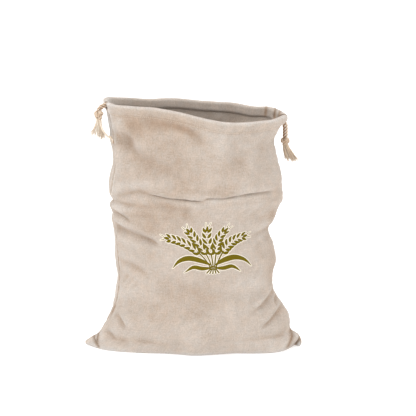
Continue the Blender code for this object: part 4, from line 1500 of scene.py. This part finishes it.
@dataclass
class Drawcord:
    """A twisted cotton cord, once round the mouth inside the casing and out at one slit with both ends.

    Attributes:
        hand: The slit at which its ends leave.
        shape: The shape of the bag.
        drop: How far below the rim it runs.
        diameter: Its diameter.
        plies: Strands twisted together.
        pitch: Length of one full turn of a strand.
        swell: Greatest radius over a strand, as a share of the cord's radius.
        groove: Least radius between two strands, likewise.
        inset: Its centre line's depth inside the wall.
        trim: How far from the seams its run in each panel stops.
        shade: Painted light above 0 and painted shade below 0 on each of its two free ends.
        bare: Length of a free end that takes its shade.
        step: Length of its faces where it shows.
        hidden_step: Their length in the casing.
        ply: A strand's distance from the middle and its radius, before the swell.
    """

    hand: Hand
    shape: FilledShape
    drop: float
    diameter: float = 3.2
    plies: int = 3
    pitch: float = 13.2
    swell: float = 1.2
    groove: float = 0.62
    inset: float = 2.85
    trim: float = 5.0
    shade: tuple[float, float] = (0.3, 0.3)
    bare: float = 30.0
    step: float = 0.45
    hidden_step: float = 2.5
    ply: tuple[float, float] = (0.47, 0.53)
    route: Array = field(init=False)
    piece: Object = field(init=False)

    def run(self, side: Side) -> Array:
        """Its centre line in one panel's hem, from left to right.

        Args:
            side: The panel.
        Returns:
            Its points.
        """
        shares = np.linspace(0, 1, 31)
        rim = self.shape.rim(side, shares)
        inset = self.inset + ClothPanel.flare(shares)
        folds_at = rim - ClothPanel.HEM_HEIGHT
        return self.shape.place(side, shares, rim - self.drop, inset, self.trim, folds_at)

    def lay_out(self) -> Array:
        """Its whole centre line, with close points where it shows and wide ones in the casing."""
        front, back = self.run(Side.FRONT), self.run(Side.BACK)
        outer, inner = (np.array(points) for points in CORD_ENDS[self.hand])
        if self.hand is Hand.LEFT:
            points = np.concatenate([outer[::-1], front, back[::-1], inner])
        else:
            points = np.concatenate([inner[::-1], front[::-1], back, outer])
        reach = reach_along(points)
        shown = len(outer) + 1
        start, end, last = reach[shown], reach[-1 - shown], reach[-1]
        hidden = np.arange(start, end, self.hidden_step)
        at = np.r_[np.arange(0, start, self.step), hidden, np.arange(end, last, self.step), last]
        return np.stack([smooth(at, reach, column) for column in points.T], axis=1)

    def girth(self, reach: Array, angle: Array) -> Array:
        """Radius at a length along the cord and an angle round it, with its strands.

        Args:
            reach: Length along the cord.
            angle: Angle round it.
        Returns:
            The radius.
        """
        half = math.pi / self.plies
        lay = angle - 2 * math.pi * reach / self.pitch
        off = np.abs((lay + half) % (2 * half) - half)
        at, radius = self.ply
        strand = at * np.cos(off) + np.sqrt(np.maximum(radius**2 - (at * np.sin(off)) ** 2, 0))
        return self.diameter / 2 * np.maximum(strand * self.swell, self.groove)

    def build(self) -> Object:
        """Sweep the cord along its route.

        Returns:
            The cord.
        """
        self.route = self.lay_out()
        parts = MeshParts()
        reach = reach_along(self.route)
        # Painted light and shade on the free ends, and painted shade in the grooves between the strands.
        shade = self.shade[0] * (reach < self.bare) + self.shade[1] * (reach > reach[-1] - self.bare)
        parts.add(*sweep(self.route, self.girth, 24, shade, hollow=2.0))
        self.piece = parts.make(f"drawcord_{self.hand.value}_twisted")
        return self.piece

    def dress(self, finish: Material, with_pieces: Sequence[Object]) -> None:
        """Args:
            finish: Its material.
            with_pieces: Its knot and its tassel. Not used.
        """
        self.piece.data.materials.append(finish)
        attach(self.piece, "root")
        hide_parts(f"drawcord_{self.hand.value}")


@dataclass
class Knot:
    """The knot of a cord's two ends, wound from three strands side by side.

    Attributes:
        hand: Whose knot it is.
        centre: Its middle.
        size: Its width, depth and height.
        cord: The cord that it is tied in.
        turn: How far it is turned about the upright, in radians.
        tone: Painted light above 0 and painted shade below 0 on it, against its cord.
        apart: Distance from one strand to the next.
    """

    hand: Hand
    centre: Point
    size: Point
    cord: Drawcord
    turn: float = 0.3
    tone: float = 0.0
    apart: float = 1.4
    piece: Object = field(init=False)

    def strand(self, shift: float) -> Array:
        """The centre line of one strand, a trefoil pressed to the knot's size.

        Args:
            shift: How far it stands beside the middle one.
        Returns:
            Its points.
        """
        t = np.linspace(0, 2 * math.pi, 150)
        radius = self.cord.diameter / 2
        x, z = (np.sin(t) + 2 * np.sin(2 * t)) / 3, (np.cos(t) - 2 * np.cos(2 * t)) / 3
        line = np.stack([x, np.sin(3 * t) * 0.62, z], axis=1)
        line *= np.array(self.size) / 2 - 0.9 * radius
        along = np.gradient(line, axis=0)
        side = np.cross(along, line)
        side /= np.maximum(np.linalg.norm(side, axis=1, keepdims=True), 1e-6)
        line += side * shift
        cosine, sine = math.cos(self.turn), math.sin(self.turn)
        turned = np.array([[cosine, -sine, 0], [sine, cosine, 0], [0, 0, 1]])
        return line @ turned.T + np.array(self.centre)

    def build(self) -> Object:
        """Sweep the three strands.

        Returns:
            The knot.
        """
        parts = MeshParts()
        for shift in (-self.apart, 0.0, self.apart):
            # Painted shade in the grooves between the strands.
            parts.add(*sweep(self.strand(shift), self.cord.girth, 18, tone=self.tone, hollow=1.2))
        self.piece = parts.make(f"knot_{self.hand.value}")
        return self.piece

    def dress(self, finish: Material) -> None:
        """Give the knot its material and its place.

        Args:
            finish: Its material.
        """
        self.piece.data.materials.append(finish)
        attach(self.piece, "root")


@dataclass(frozen=True)
class Wisp:
    """A few yarns that stand off a tassel.

    Attributes:
        line: Points that they follow.
        yarns: How many they are.
        spread: How far they open at their tips.
        tone: How much paler or darker they are.
    """

    line: tuple[Point, ...]
    yarns: int
    spread: float
    tone: float = 0.0


# The two locks that hang apart from the left tassel's bunch: one to its left, and one across the mouth
LEFT_WISPS = (
    Wisp(((-133.9, -15.5, 331.5), (-137.0, -16.0, 322), (-140.8, -16.0, 313),
          (-145.6, -15.5, 306.5)), 12, 1.9),
    Wisp(((-133.4, -15.0, 331.5), (-135.4, -15.5, 320), (-137.4, -15.5, 311),
          (-139.6, -15.0, 303.5)), 9, 1.3),
    Wisp(((-131.0, -17.6, 331), (-128.4, -21.0, 321), (-124.6, -25.0, 315), (-120.6, -29.0, 311),
          (-117.0, -32.0, 307), (-113.6, -33.0, 303)), 11, 0.7, 0.3),
    Wisp(((-117.5, -32.0, 311.0), (-115.0, -34.0, 308), (-112.4, -35.0, 305),
          (-113.0, -35.0, 300)), 9, 1.6, 0.2),
    # Dark yarns at the end of that lock, standing in for the shade round it: painted shade.
    Wisp(((-114.5, -33.0, 309.0), (-113.0, -34.0, 306.5), (-111.6, -34.2, 303),
          (-111.4, -34.2, 299)), 5, 1.2, -1.2),
)


@dataclass
class Tassel:
    """The unravelled yarns below a knot.

    Attributes:
        hand: Whose tassel it is.
        root: Where the yarns leave the knot.
        length: Length of the longest.
        spread: Half width of the bunch at its tips.
        sway: How far the bunch leans at its tips, to the side and back.
        seed: Picks how the yarns lie.
        locks: How many locks of yarns there are.
        yarns: How many yarns a lock has.
        thickness: Diameter of one.
        tone: Painted light above 0 and painted shade below 0 on it, against its yarn.
        wisps: The yarns that stand off the bunch.
        throat: Half width of the bunch at the knot.
        crimp: How far a yarn waves to each side.
    """

    hand: Hand
    root: Point
    length: float
    spread: tuple[float, float]
    sway: tuple[float, float]
    seed: int
    locks: int = 24
    yarns: int = 8
    thickness: float = 0.8
    tone: float = 0.0
    wisps: tuple[Wisp, ...] = ()
    throat: float = 3.4
    crimp: float = 0.16
    piece: Object = field(init=False)

    def lock(self, rng: np.random.Generator, share: Array) -> Array:
        """The middle line of one lock of yarns.

        Args:
            rng: Draws how it lies.
            share: How far along it each point is.
        Returns:
            Its points.
        """
        angle = rng.uniform(0, 2 * math.pi)
        out = math.sqrt(rng.uniform(0.02, 1))
        length = self.length * (1 - 0.14 * rng.uniform() - 0.08 * out)
        way = np.array([math.cos(angle), math.sin(angle)]) * out
        spread = np.array(self.spread) * rng.uniform(0.75, 1.1)
        root = way * self.throat
        level = root + (way * spread - root) * (share**1.2)[:, None]
        level = level + np.array(self.sway) * (share**1.4)[:, None]
        bend = rng.normal(0, 1.5, 2)
        level += bend * (np.sin(math.pi * share) * share)[:, None]
        return np.column_stack([level, -length * share]) + np.array(self.root)

    def yarn(self, rng: np.random.Generator, lock: Array, share: Array) -> Array:
        """The line of one yarn round its lock, open at its tip.

        Args:
            rng: Draws how it lies.
            lock: The lock's middle line.
            share: How far along it each point is.
        Returns:
            Its points.
        """
        turn = 2 * math.pi * (0.9 * share + rng.uniform())
        turn = turn + 0.5 * np.sin(9 * share + rng.uniform(0, 6.3))
        open_up = rng.uniform(0.3, 1.0) * (0.5 + 0.4 * share + rng.uniform(0, 2.0) * share**5)
        line = lock + np.stack([np.cos(turn) * open_up, np.sin(turn) * open_up, 0 * turn], axis=1)
        waves = rng.uniform(2.5, 4.5) * 2 * math.pi * share + rng.uniform(0, 6.3)
        line[:, 0] += self.crimp * np.sin(waves)
        line[:, 1] += self.crimp * np.cos(waves)
        return smooth_line(line[: rng.integers(15, 19)], 18)

    def build(self) -> Object:
        """Sweep every yarn.

        Returns:
            The tassel.
        """
        rng = np.random.default_rng(self.seed)
        share = np.linspace(0, 1, 18)
        parts = MeshParts()
        for _ in range(self.locks):
            lock = self.lock(rng, share)
            tone = self.tone + rng.uniform(-0.6, 0.3)
            for _ in range(self.yarns):
                thick = self.thickness * rng.uniform(0.6, 1.15) / 2
                yarn = self.yarn(rng, lock, share)
                self.add_yarn(parts, yarn, thick, tone + rng.uniform(-0.25, 0.25))
        for wisp in self.wisps:
            line, share = smooth_line(wisp.line, 30), np.linspace(0, 1, 30)[:, None]
            for _ in range(wisp.yarns):
                apart = rng.normal(0, 1, 3) * (0.35 + wisp.spread * share**3)
                apart = apart + 0.3 * rng.normal(0, 1, 3) * np.sin(7 * share + rng.uniform(0, 6.3))
                cut = rng.integers(25, 31)
                yarn, tone = (line + apart)[:cut], wisp.tone + rng.uniform(-0.3, 0.2)
                self.add_yarn(parts, yarn, self.thickness * 0.5, tone)
        self.piece = parts.make(f"tassel_{self.hand.value}_yarns")
        return self.piece

    @staticmethod
    def add_yarn(parts: MeshParts, line: Array, thick: float, tone: float) -> None:
        """Sweep one yarn that thins to its tip."""
        whole = reach_along(line)[-1]
        parts.add(*sweep(line, lambda reach, _: thick * (1.02 - 0.75 * (reach / whole) ** 4), 5, tone))

    def dress(self, finish: Material) -> None:
        """Give the tassel its material and its place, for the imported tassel.

        Args:
            finish: Its material.
        """
        self.piece.data.materials.append(finish)
        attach(self.piece, "root")
        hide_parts(f"tassel_{self.hand.value}")


# --- stitching and print ---


@dataclass
class HemStitching:
    """The row of stitches that holds the hem of a panel.

    Attributes:
        panel: The panel.
        drop: How far below the rim the row runs.
        pitch: Millimetres from one stitch to the next.
        length: Length of a stitch.
        thickness: Diameter of its thread.
        margin: How far from the side seams the row stops.
        lift: How far a stitch's middle stands off the cloth.
        heading: Length to each side of a stitch over which its direction is read.
    """

    panel: ClothPanel
    drop: float = 14.6
    pitch: float = 3.1
    length: float = 2.5
    thickness: float = 0.42
    margin: float = 5.0
    lift: float = 0.12
    heading: float = 0.8
    piece: Object = field(init=False)

    def first(self) -> Object:
        """One stitch: a short round thread with its ends pulled down into the cloth."""
        bpy.ops.object.select_all(action="DESELECT")
        radius, depth = self.thickness / 2 * MM, self.length * MM
        turned = (0, math.pi / 2, 0)
        bpy.ops.mesh.primitive_cylinder_add(vertices=6, radius=radius, depth=depth, rotation=turned)
        stitch = bpy.context.object
        bpy.ops.object.transform_apply(location=True, rotation=True, scale=True)
        bpy.ops.object.mode_set(mode="EDIT")
        for share in (-0.25, 0.25):
            bpy.ops.mesh.select_all(action="SELECT")
            bpy.ops.mesh.bisect(plane_co=(share * self.length * MM, 0, 0), plane_no=(1, 0, 0))
        bpy.ops.object.mode_set(mode="OBJECT")
        for vert in stitch.data.vertices:
            end = abs(vert.co.x) / (self.length * MM / 2)
            vert.co.z -= 0.3 * MM * end**3
            vert.co.y *= 1 - 0.35 * end**2
            vert.co.z *= 1 - 0.1 * end
        return stitch

    def build(self) -> Object:
        """Copy the stitch along the hem and join the copies.

        Returns:
            The row.
        """
        first = self.first()
        heights = self.panel.heights
        count = int((self.panel.width - 2 * self.margin) / self.pitch)
        u = np.linspace(self.margin, self.panel.width - self.margin, count)
        v = np.full(count, heights[-self.panel.hem_rows] + (ClothPanel.HEM_HEIGHT - self.drop))
        at = self.panel.spot(u, v, self.lift)
        after, before = (self.panel.spot(u + way * self.heading, v, self.lift) for way in (1, -1))
        out = self.panel.read(self.panel.normals, u, v)
        copies = []
        for place, run, normal in zip(at, after - before, out):
            copy = first.copy()
            copy.data = first.data.copy()
            x = Vector(run).normalized()
            y = Vector(normal).cross(x).normalized()
            z = x.cross(y)
            turn = Matrix((x, y, z)).transposed().to_4x4()
            copy.data.transform(Matrix.Translation(Vector(place) * MM) @ turn)
            bpy.context.scene.collection.objects.link(copy)
            copies.append(copy)
        bpy.data.objects.remove(first)
        bpy.ops.object.select_all(action="DESELECT")
        for copy in copies:
            copy.select_set(True)
        bpy.context.view_layer.objects.active = copies[0]
        bpy.ops.object.join()
        self.piece = bpy.context.object
        self.piece.name = f"hem_stitches_{self.panel.side.value}"
        self.piece.data.name = self.piece.name
        self.piece.data.shade_smooth()
        if self.piece.data.uv_layers:
            self.piece.data.uv_layers[0].name = THREAD_MAP
        return self.piece

    def dress(self, finish: Material) -> None:
        """Give the stitches their material and their place.

        Args:
            finish: Their material.
        """
        self.piece.data.materials.append(finish)
        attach(self.piece, "root")


@dataclass
class WheatPrint:
    """A fan of wheat ears and leaves printed on the front, tied at its foot.

    Attributes:
        panel: The panel that it is printed on.
        centre: Thread coordinates of its middle.
        edge: How far its pale edge stands round the ink.
        lift: How far the ink stands off the cloth.
        step: Length of its faces along a stroke.
        ears: Degrees by which each ear leans, and the length of its stem.
        foot: Height of the tie under the middle.
        film: Thickness of the ink.
        under: How far its pale edge lies under it.
        stagger: How much further off the cloth each stroke lies than the last.
        columns: Points across a stroke.
    """

    panel: ClothPanel
    centre: tuple[float, float]
    edge: float = 1.15
    lift: float = 0.14
    step: float = 1.6
    ears: tuple[tuple[float, float], ...] = (
        (0.0, 55.0), (38.0, 60.0), (-38.0, 60.0), (80.0, 75.0), (-80.0, 75.0),
    )
    foot: float = -26.0
    film: float = 0.16
    under: float = 0.06
    stagger: float = 0.0004
    columns: int = 5
    ink: Object = field(init=False)
    border: Object = field(init=False)

    def ear(self, lean: float, length: float) -> list[tuple[Array, Array]]:
        """The strokes of one ear of wheat: its stem, its grains in pairs, its tip and its awns.

        Args:
            lean: Degrees from upright in which its tip points.
            length: Length of its stem with the ear.
        Returns:
            Each stroke's line and half width.
        """
        count = 91
        share = np.linspace(0, 1, count)
        angle = math.radians(lean) * (0.30 + 0.72 * share)
        run = np.stack([np.sin(angle), np.cos(angle)], axis=1)
        stem = np.cumsum(run, axis=0) * length / count + np.array([0.055 * lean, self.foot])
        ear_from = int(0.33 * count)
        made = [(stem[: ear_from + 6], np.full(ear_from + 6, 1.05))]
        pairs = int((1 - 0.37) * length / 6.3)
        for k, at in enumerate(np.linspace(ear_from, count - 5, pairs).astype(int)):
            ahead, side = run[at], np.array([run[at][1], -run[at][0]])
            long = 10.6 - 0.5 * abs(k - 1.5)
            for hand in (-1, 1):
                way = ahead * 0.76 + side * hand * 0.65
                line = stem[at] + side * hand * 0.7 + np.outer(np.linspace(0, long, 12), way)
                line = line + np.outer(np.sin(np.linspace(0, math.pi, 12)), side * hand) * 0.9
                line = line + np.outer(np.linspace(0, 1, 12) ** 2, ahead) * 1.6
                made.append((line, 2.3 * self.almond(12)))
        tip = stem[-1] + np.outer(np.linspace(-1.0, 8.5, 12), run[-1])
        made.append((tip, 2.4 * self.almond(12)))
        for hand in (-1, 1):
            way = run[-1] * 0.96 + np.array([run[-1][1], -run[-1][0]]) * hand * 0.28
            awn = stem[-1] + np.outer(np.linspace(7.5, 14.0, 8), way)
            made.append((awn, np.linspace(0.55, 0.3, 8)))
        return made

    def strokes(self) -> list[tuple[Array, Array]]:
        """The design's strokes: the line that each follows, and its half width along it."""
        made = [stroke for lean, length in self.ears for stroke in self.ear(lean, length)]
        for hand in (-1, 1):
            leaf = smooth_line(((3, -22), (20, -15), (38, -12), (54, -17), (65, -27)), 40) * (hand, 1)
            made.append((leaf, 3.9 * self.almond(40)))
            blade = smooth_line(((3, -26), (16, -27), (31, -25), (46, -33)), 30) * (hand, 1)
            made.append((blade, 3.0 * self.almond(30)))
        for k in range(5):
            end = np.array([(k - 2) * 5.2, self.foot - 9.5 + 0.7 * abs(k - 2)])
            start = np.array([(k - 2) * 1.8, self.foot - 1.0])
            made.append((np.linspace(start, end, 8), np.full(8, 1.0)))
        for drop in (-1.6, 1.2):
            tie = np.array([(x, self.foot + drop - 0.03 * x * x) for x in np.linspace(-6.0, 6.0, 9)])
            made.append((tie, np.full(9, 1.15)))
        return made

    @staticmethod
    def almond(count: int) -> Array:
        """Half width of a grain or leaf along its length, 0 to 1."""
        share = np.linspace(0, 1, count)
        return np.maximum(np.sin(math.pi * share**0.8) ** 0.8, 0.08)

    def ribbon(
        self, line: Array, half: Array, grow: float, lift: float, parts: MeshParts
    ) -> None:
        """Add a stroke as a thin closed film on the cloth.

        Args:
            line: The stroke's middle line, from the print's centre.
            half: Its half width at each point.
            grow: How much wider and longer than the ink it is.
            lift: How far its upper side stands off the cloth.
            parts: What it is added to.
        """
        reach = reach_along(line)
        count = max(int(reach[-1] / self.step), 3)
        at = np.linspace(0, reach[-1], count)
        middle = np.stack([np.interp(at, reach, column) for column in line.T], axis=1)
        width = np.interp(at, reach, half) + grow
        run = np.gradient(middle, axis=0)
        run /= np.linalg.norm(run, axis=1, keepdims=True)
        middle = np.concatenate([[middle[0] - run[0] * grow], middle, [middle[-1] + run[-1] * grow]])
        tip = max(grow * 0.55, 0.1)
        width = np.r_[tip, width, tip]
        run = np.concatenate([run[:1], run, run[-1:]])
        side = np.stack([-run[:, 1], run[:, 0]], axis=1)
        across = np.linspace(-1, 1, self.columns)
        flat = middle[:, None] + side[:, None] * (width[:, None] * across[None])[..., None]
        flat = flat.reshape(-1, 2) + np.array(self.centre)
        below = len(flat)
        number = np.arange(below).reshape(-1, self.columns)
        corners = [number[:-1, :-1], number[1:, :-1], number[1:, 1:], number[:-1, 1:]]
        quads = np.stack(corners, axis=2).reshape(-1, 4)
        ring = np.r_[number[0, :-1], number[:-1, -1], number[-1, :0:-1], number[:0:-1, 0]]
        after = np.roll(ring, -1)
        wall = np.stack([ring, after, below + after, below + ring], axis=1)
        faces = np.concatenate([quads[:, ::-1], below + quads, wall[:, ::-1]]).tolist()
        top = self.panel.spot(flat[:, 0], flat[:, 1], lift)
        bottom = self.panel.spot(flat[:, 0], flat[:, 1], lift - self.film)
        parts.add(np.concatenate([top, bottom]), [tuple(face) for face in faces], np.tile(flat, (2, 1)))

    def build(self) -> tuple[Object, Object]:
        """Lay the pale edge and the ink on the cloth.

        Returns:
            The ink and its edge.
        """
        ink, border = MeshParts(), MeshParts()
        for k, (line, half) in enumerate(self.strokes()):
            self.ribbon(line, half, 0.0, self.lift + self.stagger * k, ink)
            self.ribbon(line, half, self.edge, self.lift - self.under + self.stagger * k, border)
        self.ink = ink.make("print_ink")
        self.border = border.make("print_edge")
        return self.ink, self.border

    def dress(self, ink: Material, border: Material) -> None:
        """Give the print its materials and its place.

        Args:
            ink: Material of the ink.
            border: Material of its pale edge.
        """
        for piece, finish in ((self.ink, ink), (self.border, border)):
            piece.data.materials.append(finish)
            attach(piece, "root")


# --- studio ---


@dataclass(frozen=True)
class Studio:
    """The camera, the floor and the lights. Sizes are in metres.

    Attributes:
        pixel: Size of one pixel of the picture at the bag.
        frame: Width of the picture in pixels.
        lens: Focal length of the camera, in millimetres.
        elevation: How far it looks down, in degrees.
        aim: The point that it looks at.
        floor: Width of the floor.
        lit: Height of the point that the lights face.
    """

    pixel: float = 0.00142
    frame: int = 416
    lens: float = 300.0
    elevation: float = 12.0
    aim: Point = (0.0214, 0.0, 0.2003)
    floor: float = 24.0
    lit: float = 0.17

    def build_camera(self) -> None:
        """Place the camera straight in front of the bag."""
        data = bpy.data.cameras.new("camera")
        data.lens = self.lens
        distance = self.pixel * self.frame * self.lens / data.sensor_width
        tilt = math.radians(self.elevation)
        camera = bpy.data.objects.new("camera", data)
        camera.location = Vector(self.aim) + distance * Vector((0, -math.cos(tilt), math.sin(tilt)))
        camera.rotation_euler = (math.pi / 2 - tilt, 0, 0)
        data.clip_end = 100.0
        bpy.context.scene.collection.objects.link(camera)
        bpy.context.scene.camera = camera

    def build_floor(self, finish: Material) -> None:
        """Lay the floor.

        Args:
            finish: Its material.
        """
        bpy.ops.object.select_all(action="DESELECT")
        bpy.ops.mesh.primitive_plane_add(size=self.floor, location=(0, 0, 0))
        floor = bpy.context.object
        floor.name = "floor"
        bpy.ops.object.mode_set(mode="EDIT")
        bpy.ops.mesh.select_all(action="SELECT")
        bpy.ops.mesh.subdivide(number_cuts=3)
        bpy.ops.object.mode_set(mode="OBJECT")
        floor.data.materials.append(finish)

    def build_lights(self) -> None:
        """Hang the softboxes and set the room's light."""
        bpy.context.scene.view_settings.view_transform = "Standard"
        self.softbox("key", (-2.7, -1.7, 2.0), 1.3, 60.0)
        self.softbox("fill", (2.2, -2.2, 0.8), 1.8, 36.0)
        self.softbox("ceiling", (0.0, 0.8, 5.0), 8.0, 260.0)
        self.softbox("rear", (0.6, 2.4, 1.6), 1.8, 10.0)
        world = bpy.data.worlds.new("room")
        world.use_nodes = True
        ground = world.node_tree.nodes["Background"]
        ground.inputs["Color"].default_value = (1.0, 0.965, 0.925, 1.0)
        ground.inputs["Strength"].default_value = 0.5
        bpy.context.scene.world = world

    def softbox(self, name: str, place: Point, size: float, power: float) -> None:
        """Hang a square light that faces the bag.

        Args:
            name: Its name.
            place: Where it hangs.
            size: Its width.
            power: Its strength in watts.
        """
        data = bpy.data.lights.new(name, "AREA")
        data.size = size
        data.energy = power
        light = bpy.data.objects.new(name, data)
        light.location = place
        facing = Vector((0, 0, self.lit)) - Vector(place)
        light.rotation_euler = facing.to_track_quat("-Z", "Y").to_euler()
        bpy.context.scene.collection.objects.link(light)


# --- the whole ---


def main() -> None:
    """Build the bag's pieces in order and dress them."""
    logging.basicConfig(level=logging.INFO, format="%(message)s")
    studio = Studio()
    studio.build_camera()
    shape = FilledShape()
    linen = LinenFinish().build()
    cotton = YarnFinish("cotton_cord", (0.80, 0.69, 0.565), (0.54, 0.43, 0.33)).build()
    floss = YarnFinish("cotton_floss", (0.83, 0.725, 0.60), (0.58, 0.46, 0.34), 0.15, 0.12).build()
    thread = YarnFinish("sewing_thread", (0.74, 0.65, 0.55), (0.56, 0.47, 0.38), 0.3, 0.1).build()
    olive = InkFinish("ink_olive", (0.14, 0.105, 0.004), (0.24, 0.19, 0.05)).build()
    pale = InkFinish("ink_edge", (0.80, 0.745, 0.64), (0.70, 0.62, 0.51)).build()

    # The shades and tones of the cords, knots and tassels below are painted light above 0 and painted
    # shade below 0.
    cords = {
        Hand.LEFT: Drawcord(Hand.LEFT, shape, 5.4, shade=(0.3, 0.0)),
        Hand.RIGHT: Drawcord(Hand.RIGHT, shape, 10.6, shade=(-0.5, 0.4)),
    }
    knots = {
        Hand.LEFT: Knot(Hand.LEFT, (-132.4, -15.4, 337.5), (12.6, 10.6, 14.2), cords[Hand.LEFT]),
        Hand.RIGHT: Knot(
            Hand.RIGHT, (130.4, -0.5, 297.2), (12.2, 10.4, 9.8), cords[Hand.RIGHT], turn=-0.4, tone=-0.2
        ),
    }
    tassels = {
        Hand.LEFT: Tassel(
            Hand.LEFT, root=(-132.4, -15.4, 333.1), length=34.0, spread=(7.0, 6.0), sway=(4.8, 1.5),
            seed=3, locks=22, tone=0.15, wisps=LEFT_WISPS,
        ),
        Hand.RIGHT: Tassel(
            Hand.RIGHT, root=(130.4, -0.5, 294.5), length=29.5, spread=(10.4, 5.5), sway=(9.2, 0.0),
            seed=12, locks=32, tone=-0.1,
        ),
    }
    for hand, cord in cords.items():
        for piece in (cord, knots[hand], tassels[hand]):
            piece.build()
            LOG.info("built %s", piece.piece.name)
        knots[hand].dress(cotton)
        tassels[hand].dress(floss)
        cord.dress(cotton, (knots[hand].piece, tassels[hand].piece))

    for side in Side:
        panel = ClothPanel(side, shape)
        panel.build()
        panel.dress(linen)
        LOG.info("built %s, %.0f mm of cloth from seam to edge", panel.piece.name, panel.heights[-1])
        stitching = HemStitching(panel)
        stitching.build()
        stitching.dress(thread)
        if side is Side.FRONT:
            wheat = WheatPrint(panel, (170.0, 208.0))
            wheat.build()
            wheat.dress(olive, pale)

    studio.build_floor(FloorFinish().build())
    studio.build_lights()


if __name__ == "__main__":
    main()
